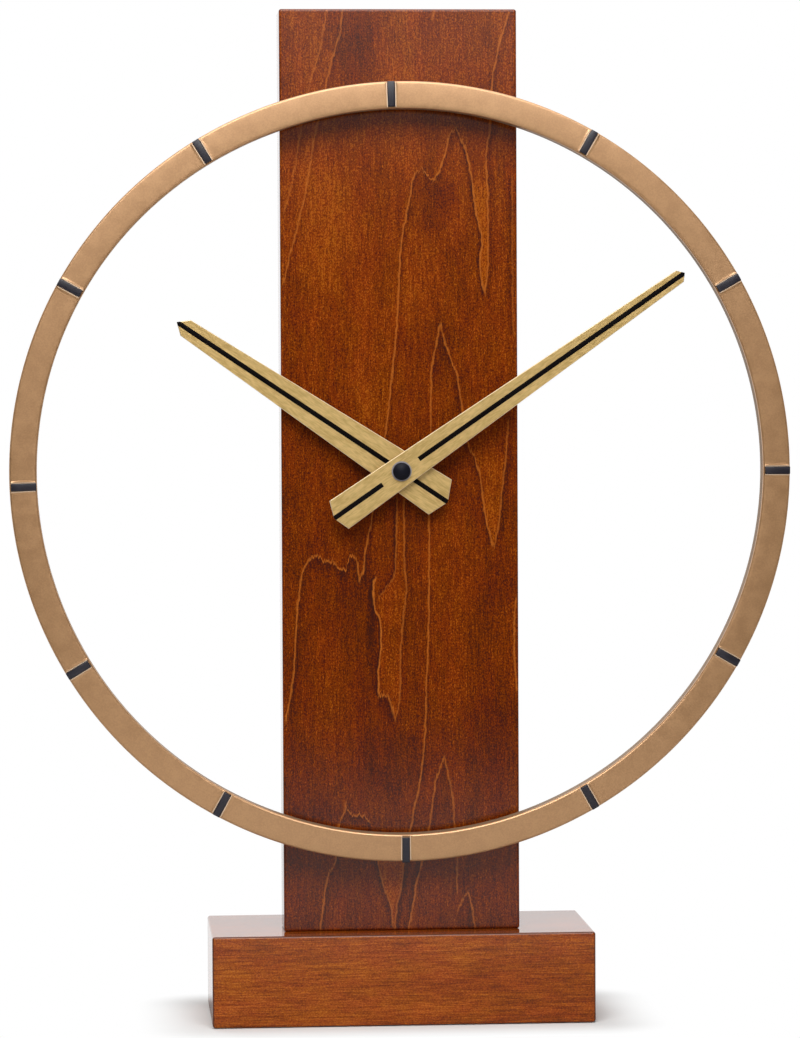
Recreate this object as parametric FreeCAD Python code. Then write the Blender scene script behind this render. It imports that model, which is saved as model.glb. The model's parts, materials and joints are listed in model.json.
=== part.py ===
import FreeCAD, Part
import math
import os

from FreeCAD import Vector

# Table clock: a wooden board standing on a wooden block, an open metal ring with
# twelve raised hour bars in front of it, two tapered hands, and a quartz movement
# let into the back of the board.
#
# Millimetres. X runs to the right seen from the front, Y away from the viewer and
# Z up. The origin is on the surface that the clock stands on, under the middle of
# the base. Angles on the dial are in degrees clockwise from twelve o'clock, seen
# from the front, which is a right-hand turn about +Y.

# ---------------------------------------------------------------- wooden stand
base_width = 138.0
base_depth = 60.0
base_height = 33.0           # floor to the top of the base, felt included
base_edge_radius = 1.0

felt_thickness = 1.2
felt_stand_out = 0.3         # how far the felt stands below the wood
felt_margin = 4.0            # wood left around the felt

board_width = 85.4
board_thickness = 18.7
board_height = 331.8         # above the top of the base
board_setback = 12.0         # front of the base to front of the board
board_edge_radius = 0.9

dowel_radius = 4.0
dowel_length = 30.0
dowel_spacing = 66.0
dowel_end_room = 0.5         # air at each end of a dowel's hole

base_screw_radius = 2.0
base_screw_spacing = 24.0
base_screw_bite = 22.0       # length of screw inside the board
base_screw_head_radius = 4.0
base_screw_head_height = 2.6
base_screw_sink = 9.0        # depth of the counterbore in the base
base_screw_hole = 2.2
counterbore_room = 0.5       # radial room around a sunk screw head

# ------------------------------------------------------------------- dial ring
pivot_height = 199.2         # floor to the axis of the hands
ring_outer_radius = 140.0
ring_width = 9.8
ring_depth = 7.5
ring_standoff = 4.2          # board to the back of the ring
ring_twist = -0.6            # the ring is screwed on a little out of true
ring_lip_radius = 0.8        # rounding on both rims of the face
ring_dish_depth = 0.9
ring_wall = 1.9              # side walls around the open back
ring_floor = 3.0             # thickness behind the face

marker_count = 12
marker_width = 2.5
marker_inset = 0.7           # from the ring's inner edge to the end of a bar
marker_thickness = 1.3
marker_stand_out = 0.3       # bars in front of the ring's lips
saddle_rim = 0.3             # raised edge left on both long sides of a bar
saddle_step = 0.12           # rim of a saddle below the top of its bar
# how far each bar, from twelve o'clock on, sits clockwise of its place on the ring
marker_slip = [-0.8, 0.5, 1.0, 0.8, 0.6, 0.9, 0.3, -0.6, -0.5, -1.4, -0.2, -1.2]

standoff_radius = 3.4
standoff_bore = 1.6
standoff_angles = [-10.5, 10.5, 169.5, 190.5]
boss_pilot_depth = 4.6

ring_screw_radius = 1.4
ring_screw_head_radius = 2.8
ring_screw_head_height = 1.8
ring_screw_sink = 3.0        # depth of the counterbore in the back of the board

rib_thickness = 1.2

# ----------------------------------------------------------------------- hands
hand_thickness = 0.8
hand_bevel = 0.2
stripe_width = 1.4
stripe_thickness = 0.25
stripe_stand_out = 0.05

hour_angle = 303.9
hour_tip = 96.4
hour_tip_shoulder = 92.6
hour_tip_width = 6.7
hour_tail_shoulder = 17.0
hour_tail_width = 15.0
hour_tail = 20.3
hour_stripe_gap_ahead = 4.3  # axis to the near end of each stripe
hour_stripe_gap_behind = 4.3
hour_collet_radius = 3.6
hour_collet_length = 1.0

minute_angle = 55.4
minute_tip = 124.4
minute_tip_shoulder = 122.3
minute_tip_width = 4.9
minute_tail_shoulder = 27.3
minute_tail_width = 12.1
minute_tail = 29.5
minute_stripe_gap_ahead = 7.6
minute_stripe_gap_behind = 8.3

bush_to_hour_hand = 1.2      # front of the threaded bush to the hour hand
hand_gap = 2.0               # hour hand to minute hand
pipe_stand_out = 0.2         # hour pipe past the hour hand

cap_radius = 3.6
cap_height = 2.4
cap_rim_thickness = 0.4
cap_rim_width = 0.35
cap_side_height = 0.5        # straight side between the rim and the dome
cap_wall = 0.6               # nut left in front of the threaded tip

# --------------------------------------------------------- fixing of the movement
web_thickness = 5.5          # wood left in front of the recess
recess_room = 0.75           # gap around the movement in its recess
recess_corner_radius = 3.0
gasket_thickness = 0.5
gasket_radius = 14.0
shaft_hole_room = 0.25

bush_radius = 4.0
bush_flange_radius = 6.0
bush_past_nut = 0.4
washer_radius = 6.8
washer_thickness = 0.6
nut_across_flats = 11.0
nut_height = 2.2

# -------------------------------------------------------------- movement housing
case_side = 56.0
case_depth = 16.0
case_wall = 1.2
case_corner_radius = 2.0
cover_thickness = 1.2
cover_room = 0.1             # gap around the cover in the case
clip_length = 6.0
clip_height = 0.8
clip_stand_out = 0.7

battery_radius = 7.1
battery_length = 50.2
battery_nub_radius = 2.7
battery_nub_length = 1.0
battery_room = 0.1
battery_cap_length = 1.2     # bare steel at both ends of the cell
thumb_notch_radius = 8.0

contact_thickness = 0.4
contact_width = 5.0
contact_leaf = 0.3           # spring strip of the negative contact

# --------------------------------------------------------------- gears and arbors
half_turn = 180.0
pressure_angle = 20.0
addendum = 0.8               # tooth heights and play in modules and pitches
dedendum = 1.15
tooth_play = 0.2

run_clearance = 0.05         # radial, at every shaft that turns
pivot_radius = 0.35

train_distance = 9.0         # centre axis to third axis and intermediate axis
centre_teeth = 64
third_pinion_teeth = 8
third_teeth = 60
seconds_pinion_teeth = 8
seconds_teeth = 60
intermediate_pinion_teeth = 12
intermediate_teeth = 48
rotor_pinion_teeth = 8
rotor_distance = 7.0         # intermediate axis to rotor axis

motion_distance = 7.2        # centre axis to minute wheel, minute wheel to setting axis
cannon_teeth = 12
minute_wheel_teeth = 36
minute_pinion_teeth = 10
hour_wheel_teeth = 40
setting_teeth = 12

third_direction = 300.0      # directions of the axes, clockwise from twelve
intermediate_direction = 30.0
rotor_direction = 60.0
minute_wheel_direction = 240.0
setting_direction = 270.0

hour_pipe_radius = 2.5
cannon_radius = 1.6
cannon_stub_radius = 1.2
cannon_tip_radius = 1.4      # threaded tip that carries the minute hand
seconds_arbor_radius = 0.5
minute_post_radius = 0.6
setting_shaft_radius = 1.0
knob_radius = 4.5
knob_height = 3.5
knob_gap = 0.3
knob_flutes = 12
knob_flute_radius = 0.6

# distances behind the inside face of the case, with the thickness of each wheel
wheel_thickness = 0.8
pinion_overhang = 0.15       # a pinion's face past the wheel that it drives
hour_wheel_layer = 0.35
minute_wheel_layer = 1.7
centre_wheel_layer = 3.2
third_wheel_layer = 4.7
seconds_wheel_layer = 6.1
intermediate_wheel_layer = 7.3
magnet_layer = 8.5
bridge_layer = 11.4

slip_spring_radius = 3.0

magnet_radius = 2.8
magnet_length = 2.2
stator_layer = 9.2
stator_thickness = 0.8
stator_air_gap = 0.4
stator_lobe_radius = 5.5
stator_bar_width = 5.0
coil_height = 21.2           # coil axis above the centre axis
coil_core_width = 3.0
coil_core_reach_left = 22.0  # centre axis to the ends of the core, seen from the front
coil_core_reach_right = 16.0
coil_reach_left = 15.5
coil_reach_right = 9.5
coil_flange_radius = 2.9
coil_flange_thickness = 0.8
coil_tube_radius = 2.1
winding_radius = 2.7
core_room = 0.1

bridge_thickness = 1.2
pillar_radius = 1.4
left_pillar_distance = 18.8
left_pillar_direction = 287.0
right_pillar_distance = 12.7
right_pillar_direction = 101.5
low_pillar_distance = 10.1
low_pillar_direction = 157.0
small_screw_radius = 0.7
small_screw_head_radius = 1.3
small_screw_head_height = 0.7
small_screw_bite = 4.0
pivot_boss_radius = 1.2
pivot_depth = 1.6            # how far an arbor's front end runs in its boss
boss_end_gap = 0.35          # boss to the first wheel or pinion on its arbor

circuit_left = 14.5
circuit_width = 11.8
circuit_height = 18.5
circuit_thickness = 0.8
circuit_layer = 2.8
circuit_post_radius = 1.0
chip_side = 4.0
chip_height = 1.0
crystal_radius = 1.0
crystal_length = 6.0

# ------------------------------------------------------------- places worked out
base_front = -base_depth / 2
board_front = base_front + board_setback
board_back = board_front + board_thickness
board_middle = (board_front + board_back) / 2
board_top = base_height + board_height

ring_back = board_front - ring_standoff
ring_front = ring_back - ring_depth
ring_inner_radius = ring_outer_radius - ring_width
ring_middle_radius = ring_outer_radius - ring_width / 2
marker_front = ring_front - marker_stand_out
saddle_front = marker_front + saddle_step

recess_floor = board_front + web_thickness
case_front = recess_floor + gasket_thickness
case_back = case_front + case_depth
case_inside = case_front + case_wall
cover_front = case_back - cover_thickness
half_case = case_side / 2
half_room = half_case - case_wall

washer_front = board_front - washer_thickness
nut_front = washer_front - nut_height
bush_front = nut_front - bush_past_nut
hour_hand_back = bush_front - bush_to_hour_hand
hour_hand_front = hour_hand_back - hand_thickness
minute_hand_back = hour_hand_front - hand_gap
minute_hand_front = minute_hand_back - hand_thickness
cap_front = minute_hand_front - cap_height

bay_top = -half_room + 2 * (battery_radius + battery_room)
bay_wall_top = bay_top + case_wall
circuit_bottom = bay_wall_top
battery_height = -half_room + battery_radius + battery_room
battery_middle = case_inside + battery_room + battery_radius
battery_right = half_room - contact_thickness - battery_room
battery_left = battery_right - battery_length

hour_pipe_bore = cannon_radius + run_clearance
bush_bore = hour_pipe_radius + run_clearance
seconds_bore = seconds_arbor_radius + run_clearance
pivot_hole = pivot_radius + run_clearance

coil_core_left = -coil_core_reach_left
coil_core_right = coil_core_reach_right
coil_left = -coil_reach_left
coil_right = coil_reach_right
stator_front = case_inside + stator_layer
core_front = stator_front + stator_thickness
bridge_front = case_inside + bridge_layer
bridge_back = bridge_front + bridge_thickness
circuit_front = case_inside + circuit_layer
circuit_back = circuit_front + circuit_thickness


# ------------------------------------------------------------------ small helpers
def on_dial(angle, radius, start=(0.0, 0.0)):
    """x and height of a point in a dial direction from another, about the axis of the hands."""
    turn = math.radians(angle)
    return start[0] + radius * math.sin(turn), start[1] + radius * math.cos(turn)


def box(x, y, z):
    """A box from three pairs of coordinates."""
    return Part.makeBox(x[1] - x[0], y[1] - y[0], z[1] - z[0], Vector(x[0], y[0], z[0]))


def rod(place, radius, y):
    """A cylinder along Y; place is (x, height) from the axis of the hands."""
    start = Vector(place[0], y[0], pivot_height + place[1])
    return Part.makeCylinder(radius, y[1] - y[0], start, Vector(0, 1, 0))


def tube(place, outer, inner, y):
    return rod(place, outer, y).cut(rod(place, inner, y))


def post(x, y, radius, z):
    """A cylinder along Z."""
    return Part.makeCylinder(radius, z[1] - z[0], Vector(x, y, z[0]), Vector(0, 0, 1))


def plate(points, y):
    """A flat plate; points are (x, height) from the axis of the hands."""
    corners = [Vector(x, y[0], pivot_height + z) for x, z in points]
    face = Part.Face(Part.makePolygon(corners + corners[:1]))
    return face.extrude(Vector(0, y[1] - y[0], 0))


def edges_along(shape, direction):
    """The straight edges that run along one axis."""
    found = []
    for edge in shape.Edges:
        if edge.Curve.TypeId != "Part::GeomLine":
            continue
        start, end = edge.Vertexes[0].Point, edge.Vertexes[-1].Point
        if abs((end - start).normalize().dot(direction)) > 0.999:
            found.append(edge)
    return found


def turned(shape, angle):
    """A copy turned clockwise about the axis of the hands."""
    copy = shape.copy()
    copy.rotate(Vector(0, 0, pivot_height), Vector(0, 1, 0), angle)
    return copy


def fused(pieces):
    """One solid from pieces that overlap or share a face."""
    whole = pieces[0].multiFuse(pieces[1:]).removeSplitter()
    return whole.Solids[0] if len(whole.Solids) == 1 else whole


def group(pieces):
    return Part.makeCompound([solid for piece in pieces for solid in piece.Solids])


def layer(distance, thickness=wheel_thickness):
    """Front and back of something at a distance behind the inside face of the case."""
    return case_inside + distance, case_inside + distance + thickness


# ------------------------------------------------------------------------- gears
def involute(angle):
    return math.tan(angle) - angle


def gear(place, teeth, module, phase, y, bore, flank_points=2):
    """A spur gear with one tooth centred on the dial angle phase."""
    pressure = math.radians(pressure_angle)
    pitch_radius = teeth * module / 2
    base_radius = pitch_radius * math.cos(pressure)
    tip_radius = pitch_radius + addendum * module
    root_radius = pitch_radius - dedendum * module
    half_tooth = math.pi / teeth / 2 * (1 - tooth_play)

    def half_angle(radius):
        roll = math.acos(base_radius / max(radius, base_radius))
        return half_tooth + involute(pressure) - involute(roll)

    start = max(root_radius, base_radius)
    radii = [start + (tip_radius - start) * k / (flank_points - 1) for k in range(flank_points)]
    if root_radius < base_radius:
        radii.insert(0, root_radius)
    points = []
    for tooth in range(teeth):
        centre = phase + 360.0 * tooth / teeth
        flank = [(math.degrees(half_angle(radius)), radius) for radius in radii]
        points += [on_dial(centre - angle, radius, place) for angle, radius in flank]
        points += [on_dial(centre + angle, radius, place) for angle, radius in reversed(flank)]
    blank = plate(points, y)
    return blank.cut(rod(place, bore, y)) if bore else blank


def module_for(distance, teeth, pinion_teeth):
    return 2 * distance / (teeth + pinion_teeth)


def meshing_phase(teeth, phase, other_teeth, direction):
    """Tooth angle of a second gear that meshes with a first in a dial direction from it."""
    return direction + half_turn + (teeth * (direction - phase) - half_turn) / other_teeth


centre_axis = (0.0, 0.0)
third_axis = on_dial(third_direction, train_distance)
intermediate_axis = on_dial(intermediate_direction, train_distance)
rotor_axis = on_dial(rotor_direction, rotor_distance, intermediate_axis)
minute_wheel_axis = on_dial(minute_wheel_direction, motion_distance)
setting_axis = on_dial(setting_direction, motion_distance, minute_wheel_axis)

centre_module = module_for(train_distance, centre_teeth, third_pinion_teeth)
third_module = module_for(train_distance, third_teeth, seconds_pinion_teeth)
seconds_module = module_for(train_distance, seconds_teeth, intermediate_pinion_teeth)
intermediate_module = module_for(rotor_distance, intermediate_teeth, rotor_pinion_teeth)
cannon_module = module_for(motion_distance, minute_wheel_teeth, cannon_teeth)
hour_module = module_for(motion_distance, hour_wheel_teeth, minute_pinion_teeth)

pillar_places = [on_dial(left_pillar_direction, left_pillar_distance),
                 on_dial(right_pillar_direction, right_pillar_distance),
                 on_dial(low_pillar_direction, low_pillar_distance)]
core_screw_places = [(coil_core_left + stator_bar_width / 2, coil_height),
                     (coil_core_right - stator_bar_width / 2, coil_height)]
circuit_post_places = [(circuit_left + 2.0, circuit_bottom + circuit_height - 2.0),
                       (circuit_left + circuit_width - 2.0, circuit_bottom + circuit_height - 2.0)]


# ------------------------------------------------------------------ wooden stand
def dowel_places():
    return [(side * dowel_spacing / 2, board_middle) for side in (-1, 1)]


def base_screw_places():
    return [(side * base_screw_spacing / 2, board_middle) for side in (-1, 1)]


def dowel_span():
    return base_height - dowel_length / 2, base_height + dowel_length / 2


def make_base_block():
    half = base_width / 2
    block = box((-half, half), (base_front, -base_front), (felt_stand_out, base_height))
    block = block.makeFillet(base_edge_radius, block.Edges)
    edge = half - felt_margin
    depth = base_depth / 2 - felt_margin
    block = block.cut(box((-edge, edge), (-depth, depth), (0, felt_thickness)))
    low, high = dowel_span()
    for x, y in dowel_places():
        block = block.cut(post(x, y, dowel_radius, (low - dowel_end_room, high)))
    for x, y in base_screw_places():
        head_room = base_screw_head_radius + counterbore_room
        block = block.cut(post(x, y, head_room, (felt_thickness, base_screw_sink)))
        block = block.cut(post(x, y, base_screw_hole, (base_screw_sink, base_height)))
    return block


def make_felt_pad():
    edge = base_width / 2 - felt_margin
    depth = base_depth / 2 - felt_margin
    return box((-edge, edge), (-depth, depth), (0, felt_thickness))


def make_base_screws():
    screws = []
    for x, y in base_screw_places():
        head = post(x, y, base_screw_head_radius,
                    (base_screw_sink - base_screw_head_height, base_screw_sink))
        shank = post(x, y, base_screw_radius, (base_screw_sink, base_height + base_screw_bite))
        screws.append(fused([head, shank]))
    return group(screws)


def make_dowels():
    return group([post(x, y, dowel_radius, dowel_span()) for x, y in dowel_places()])


def ring_screw_places():
    return [on_dial(angle + ring_twist, ring_middle_radius) for angle in standoff_angles]


def make_board():
    half = board_width / 2
    board = box((-half, half), (board_front, board_back), (base_height, board_top))
    board = board.makeFillet(board_edge_radius, board.Edges)

    reach = half_case + recess_room
    recess = box((-reach, reach), (recess_floor, board_back),
                 (pivot_height - reach, pivot_height + reach))
    recess = recess.makeFillet(recess_corner_radius, edges_along(recess, Vector(0, 1, 0)))
    board = board.cut(recess)
    hole = rod(centre_axis, bush_radius + shaft_hole_room, (board_front, recess_floor))
    board = board.cut(hole)

    sink = board_back - ring_screw_sink
    for place in ring_screw_places():
        board = board.cut(rod(place, standoff_bore, (board_front, sink)))
        board = board.cut(rod(place, ring_screw_head_radius + counterbore_room, (sink, board_back)))

    high = dowel_span()[1]
    for x, y in dowel_places():
        board = board.cut(post(x, y, dowel_radius, (base_height, high + dowel_end_room)))
    for x, y in base_screw_places():
        board = board.cut(post(x, y, base_screw_radius, (base_height, base_height + base_screw_bite)))
    return board


# --------------------------------------------------------------------- dial ring
def ring_section():
    """Half section of the ring: rounded rims, a dished face and an open back."""
    outer = ring_outer_radius
    inner = ring_inner_radius
    lip = ring_lip_radius
    bend = lip * (1 - math.sqrt(0.5))
    dish = ring_front + ring_dish_depth
    floor = ring_front + ring_floor

    def at(radius, y):
        return Vector(radius, y, pivot_height)

    def line(start, end):
        return Part.LineSegment(start, end).toShape()

    def arc(start, middle, end):
        return Part.Arc(start, middle, end).toShape()

    return Part.Wire([
        arc(at(outer, ring_front + lip), at(outer - bend, ring_front + bend), at(outer - lip, ring_front)),
        arc(at(outer - lip, ring_front), at(ring_middle_radius, dish), at(inner + lip, ring_front)),
        arc(at(inner + lip, ring_front), at(inner + bend, ring_front + bend), at(inner, ring_front + lip)),
        line(at(inner, ring_front + lip), at(inner, ring_back)),
        line(at(inner, ring_back), at(inner + ring_wall, ring_back)),
        line(at(inner + ring_wall, ring_back), at(inner + ring_wall, floor)),
        line(at(inner + ring_wall, floor), at(outer - ring_wall, floor)),
        line(at(outer - ring_wall, floor), at(outer - ring_wall, ring_back)),
        line(at(outer - ring_wall, ring_back), at(outer, ring_back)),
        line(at(outer, ring_back), at(outer, ring_front + lip)),
    ])


def marker_block(half_width, radii, y):
    """A radial bar at twelve o'clock."""
    return box((-half_width, half_width), y, (pivot_height + radii[0], pivot_height + radii[1]))


def marker_angle(hour):
    return 360.0 / marker_count * hour + marker_slip[hour % len(marker_slip)] + ring_twist


def make_ring():
    profile = Part.Face(ring_section())
    ring = profile.revolve(Vector(0, 0, pivot_height), Vector(0, 1, 0), 360)
    half_rim = marker_width / 2 + saddle_rim
    saddle_radii = (ring_inner_radius + ring_wall / 2, ring_outer_radius - ring_lip_radius / 2)
    groove_radii = (ring_inner_radius + marker_inset, ring_outer_radius + ring_width)
    floor = ring_front + ring_floor
    saddles = []
    grooves = []
    for hour in range(marker_count):
        saddle = marker_block(half_rim, saddle_radii, (saddle_front, floor))
        groove = marker_block(marker_width / 2, groove_radii,
                              (marker_front, marker_front + marker_thickness))
        saddles.append(turned(saddle, marker_angle(hour)))
        grooves.append(turned(groove, marker_angle(hour)))

    reach = (ring_inner_radius + ring_wall / 2, ring_outer_radius - ring_wall / 2)
    bosses = []
    pilots = []
    for place in ring_screw_places():
        bosses.append(rod(place, ring_width / 2 - ring_wall / 2, (floor - ring_wall / 2, ring_back)))
        pilots.append(rod(place, ring_screw_radius, (ring_back - boss_pilot_depth, ring_back)))
    ribs = []
    for hour in range(marker_count):
        rib = marker_block(rib_thickness / 2, reach, (floor - ring_wall / 2, ring_back))
        ribs.append(turned(rib, 360.0 / marker_count * (hour + 0.5) + ring_twist))
    return fused([ring] + saddles + bosses + ribs).cut(Part.makeCompound(grooves + pilots))


def make_marker_bars():
    radii = (ring_inner_radius + marker_inset, ring_outer_radius)
    bars = []
    for hour in range(marker_count):
        bar = marker_block(marker_width / 2, radii, (marker_front, marker_front + marker_thickness))
        bars.append(turned(bar, marker_angle(hour)))
    return group(bars)


def make_standoffs():
    span = (ring_back, board_front)
    return group([tube(place, standoff_radius, standoff_bore, span) for place in ring_screw_places()])


def make_ring_screws():
    sink = board_back - ring_screw_sink
    screws = []
    for place in ring_screw_places():
        shank = rod(place, ring_screw_radius, (ring_back - boss_pilot_depth, sink))
        head = rod(place, ring_screw_head_radius, (sink, sink + ring_screw_head_height))
        screws.append(fused([head, shank]))
    return group(screws)


# ------------------------------------------------------------------------- hands
def hand_outline(tip, tip_shoulder, tip_width, tail_shoulder, tail_width, tail):
    return [
        (0, tip), (tip_width / 2, tip_shoulder), (tail_width / 2, -tail_shoulder),
        (0, -tail), (-tail_width / 2, -tail_shoulder), (-tip_width / 2, tip_shoulder),
    ]


def hand_blank(outline, back):
    """A flat hand pointing at twelve, with its front edges bevelled."""
    front = back - hand_thickness
    blank = plate(outline, (front, back))
    rim = [edge for edge in blank.Edges if all(abs(v.Y - front) < 1e-6 for v in edge.Vertexes)]
    return blank.makeChamfer(hand_bevel, rim)


def stripe_boxes(front, ahead, behind, reach):
    """The channel for the stripe, cut out around the axis."""
    half = stripe_width / 2
    depth = (front - stripe_stand_out, front - stripe_stand_out + stripe_thickness)
    top = box((-half, half), depth, (pivot_height + ahead, pivot_height + reach))
    low = box((-half, half), depth, (pivot_height - reach, pivot_height - behind))
    return [top, low]


def make_hand(outline, back, ahead, behind, bore, collet=None):
    """A hand with channels for its stripe, and the stripe that fills them."""
    blank = hand_blank(outline, back)
    blank = blank.cut(rod(centre_axis, bore, (back - hand_thickness, back)))
    front = back - hand_thickness
    reach = outline[0][1] + hand_thickness
    channels = stripe_boxes(front, ahead, behind, reach)
    raised = plate(outline, (front - stripe_stand_out, back))
    stripes = [channel.common(raised) for channel in channels]
    hand = blank.cut(Part.makeCompound(channels))
    if collet:
        hand = fused([hand, collet])
    return hand, group(stripes)


def make_hour_hand():
    outline = hand_outline(hour_tip, hour_tip_shoulder, hour_tip_width,
                           hour_tail_shoulder, hour_tail_width, hour_tail)
    collet = tube(centre_axis, hour_collet_radius, hour_pipe_radius,
                  (hour_hand_back, hour_hand_back + hour_collet_length))
    hand, stripes = make_hand(outline, hour_hand_back, hour_stripe_gap_ahead,
                              hour_stripe_gap_behind, hour_pipe_radius, collet)
    return turned(hand, hour_angle), turned(stripes, hour_angle)


def make_minute_hand():
    outline = hand_outline(minute_tip, minute_tip_shoulder, minute_tip_width,
                           minute_tail_shoulder, minute_tail_width, minute_tail)
    hand, stripes = make_hand(outline, minute_hand_back, minute_stripe_gap_ahead,
                              minute_stripe_gap_behind, cannon_tip_radius)
    return turned(hand, minute_angle), turned(stripes, minute_angle)


def make_cap_nut():
    """A closed domed nut, with a thin rim, on the threaded tip of the minute arbor."""
    side_radius = cap_radius - cap_rim_width
    rise = cap_height - cap_rim_thickness - cap_side_height
    dome_radius = (side_radius ** 2 + rise ** 2) / (2 * rise)
    dome = Part.makeSphere(dome_radius, Vector(0, cap_front + dome_radius, pivot_height))
    body = rod(centre_axis, side_radius, (cap_front - cap_wall, minute_hand_front)).common(dome)
    rim = rod(centre_axis, cap_radius, (minute_hand_front - cap_rim_thickness, minute_hand_front))
    bore = rod(centre_axis, cannon_tip_radius, (cap_front + cap_wall, minute_hand_front))
    return fused([body, rim]).cut(bore)


# --------------------------------------------------------- fixing of the movement
def make_bush():
    flange = rod(centre_axis, bush_flange_radius, (recess_floor, case_front))
    shank = rod(centre_axis, bush_radius, (bush_front, case_inside))
    return fused([flange, shank]).cut(rod(centre_axis, bush_bore, (bush_front, case_inside)))


def make_gasket():
    return tube(centre_axis, gasket_radius, bush_flange_radius + run_clearance,
                (recess_floor, case_front))


def make_washer():
    return tube(centre_axis, washer_radius, bush_radius + run_clearance, (washer_front, board_front))


def make_nut():
    corner = nut_across_flats / 2 / math.cos(math.radians(30))
    points = [on_dial(60 * k, corner) for k in range(6)]
    blank = plate(points, (nut_front, washer_front))
    return blank.cut(rod(centre_axis, bush_radius, (nut_front, washer_front)))


# -------------------------------------------------------------- movement housing
def pillar(place, y):
    return rod(place, pillar_radius, y)


def front_of(wheel_layer):
    """The front face of a pinion that overhangs the wheel in this layer."""
    return layer(wheel_layer)[0] - pinion_overhang


def pivot_bosses():
    """Arbors that run in the case, each with the end of its boss in front of the first wheel there."""
    return [
        (third_axis, front_of(centre_wheel_layer) - boss_end_gap),
        (intermediate_axis, front_of(centre_wheel_layer) - boss_end_gap),
        (rotor_axis, front_of(intermediate_wheel_layer) - boss_end_gap),
    ]


def make_case():
    shell = box((-half_case, half_case), (case_front, case_back),
                (pivot_height - half_case, pivot_height + half_case))
    shell = shell.makeFillet(case_corner_radius, edges_along(shell, Vector(0, 1, 0)))
    room = box((-half_room, half_room), (case_inside, case_back),
               (pivot_height + bay_wall_top, pivot_height + half_room))
    bay = box((-half_room, half_room), (case_inside, case_back),
              (pivot_height - half_room, pivot_height + bay_top))
    shell = shell.cut(room).cut(bay)

    root = case_inside - case_wall / 2
    additions = [pillar(place, (root, bridge_front)) for place in pillar_places]
    additions += [pillar(place, (root, stator_front)) for place in core_screw_places]
    additions += [rod(place, circuit_post_radius, (root, circuit_front))
                  for place in circuit_post_places]
    additions += [rod(place, pivot_boss_radius, (root, end)) for place, end in pivot_bosses()]
    additions.append(rod(minute_wheel_axis, minute_post_radius,
                         (root, layer(minute_wheel_layer)[1] + boss_end_gap)))
    setting_boss = (root, front_of(minute_wheel_layer) - boss_end_gap)
    additions.append(rod(setting_axis, setting_shaft_radius + case_wall / 2, setting_boss))
    shell = fused([shell] + additions)

    cuts = [rod(centre_axis, bush_radius, (case_front, case_inside))]
    cuts += [rod(place, small_screw_radius, (bridge_front - small_screw_bite, bridge_front))
             for place in pillar_places]
    cuts += [rod(place, small_screw_radius, (stator_front - small_screw_bite, stator_front))
             for place in core_screw_places]
    cuts += [rod(place, pivot_hole, (end - pivot_depth, end)) for place, end in pivot_bosses()]
    cuts.append(rod(setting_axis, setting_shaft_radius + run_clearance,
                    (case_inside, setting_boss[1])))
    cuts.append(rod((0.0, -half_case - thumb_notch_radius / 3), thumb_notch_radius,
                    (battery_middle, case_back)))
    for side in (-1, 1):
        near, far = sorted((side * half_room, side * (half_room + clip_stand_out + cover_room)))
        window = box((near, far), (cover_front, cover_front + clip_height + cover_room),
                     (pivot_height + clip_middle() - clip_length / 2 - cover_room,
                      pivot_height + clip_middle() + clip_length / 2 + cover_room))
        cuts.append(window)
    notch_y = contact_y()
    for side, width in ((1, contact_thickness), (-1, contact_leaf)):
        near, far = sorted((side * half_room, side * (half_room - width - cover_room)))
        cuts.append(box((near, far), (notch_y[0], notch_y[1]),
                        (pivot_height + bay_top, pivot_height + bay_wall_top)))
    return shell.cut(Part.makeCompound(cuts))


def clip_middle():
    return (bay_wall_top + half_room) / 2


def contact_y():
    """Front and back of both contact strips."""
    return circuit_back, circuit_back + contact_width


def make_cover():
    edge = half_room - cover_room
    low = pivot_height + bay_wall_top + cover_room
    high = pivot_height + half_room - cover_room
    cover = box((-edge, edge), (cover_front, case_back), (low, high))
    clips = []
    for side in (-1, 1):
        near, far = sorted((side * (edge - clip_height), side * (half_room + clip_stand_out)))
        clips.append(box((near, far), (cover_front, cover_front + clip_height),
                         (pivot_height + clip_middle() - clip_length / 2,
                          pivot_height + clip_middle() + clip_length / 2)))
    cover = fused([cover] + clips)
    return cover.cut(rod(setting_axis, setting_shaft_radius + run_clearance, (cover_front, case_back)))


def make_bridge():
    reach = pillar_radius + bridge_thickness / 2
    left, right, low = pillar_places
    outline = [
        (left[0] - reach, left[1] + reach), (left[0] - reach, left[1] - reach),
        (low[0] - reach, low[1] - pillar_radius), (low[0] + reach, low[1] - pillar_radius),
        (right[0] + reach, right[1] - reach), (right[0] + reach, rotor_axis[1] + reach),
        (rotor_axis[0] - reach, rotor_axis[1] + reach + pillar_radius),
    ]
    bridge = plate(outline, (bridge_front, bridge_back))
    holes = [rod(place, pivot_hole, (bridge_front, bridge_back))
             for place in (third_axis, intermediate_axis, rotor_axis)]
    holes.append(rod(centre_axis, seconds_bore, (bridge_front, bridge_back)))
    holes += [rod(place, small_screw_radius, (bridge_front, bridge_back)) for place in pillar_places]
    holes.append(rod(setting_axis, setting_shaft_radius + case_wall / 2, (bridge_front, bridge_back)))
    return bridge.cut(Part.makeCompound(holes))


def small_screw(place, seat, tip):
    head = rod(place, small_screw_head_radius, (seat, seat + small_screw_head_height))
    return fused([head, rod(place, small_screw_radius, (tip, seat))])


def make_bridge_screws():
    tip = bridge_front - small_screw_bite
    return group([small_screw(place, bridge_back, tip) for place in pillar_places])


# ------------------------------------------------------------------ gears and arbors
def arbor(place):
    """A steel arbor from its pivot in the case to the back of the bridge."""
    end = dict(pivot_bosses())[place]
    return rod(place, pivot_radius, (end - pivot_depth + boss_end_gap, bridge_back))


def pinion_span(wheel_layer):
    front, back = layer(wheel_layer)
    return front - pinion_overhang, back + pinion_overhang


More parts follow.
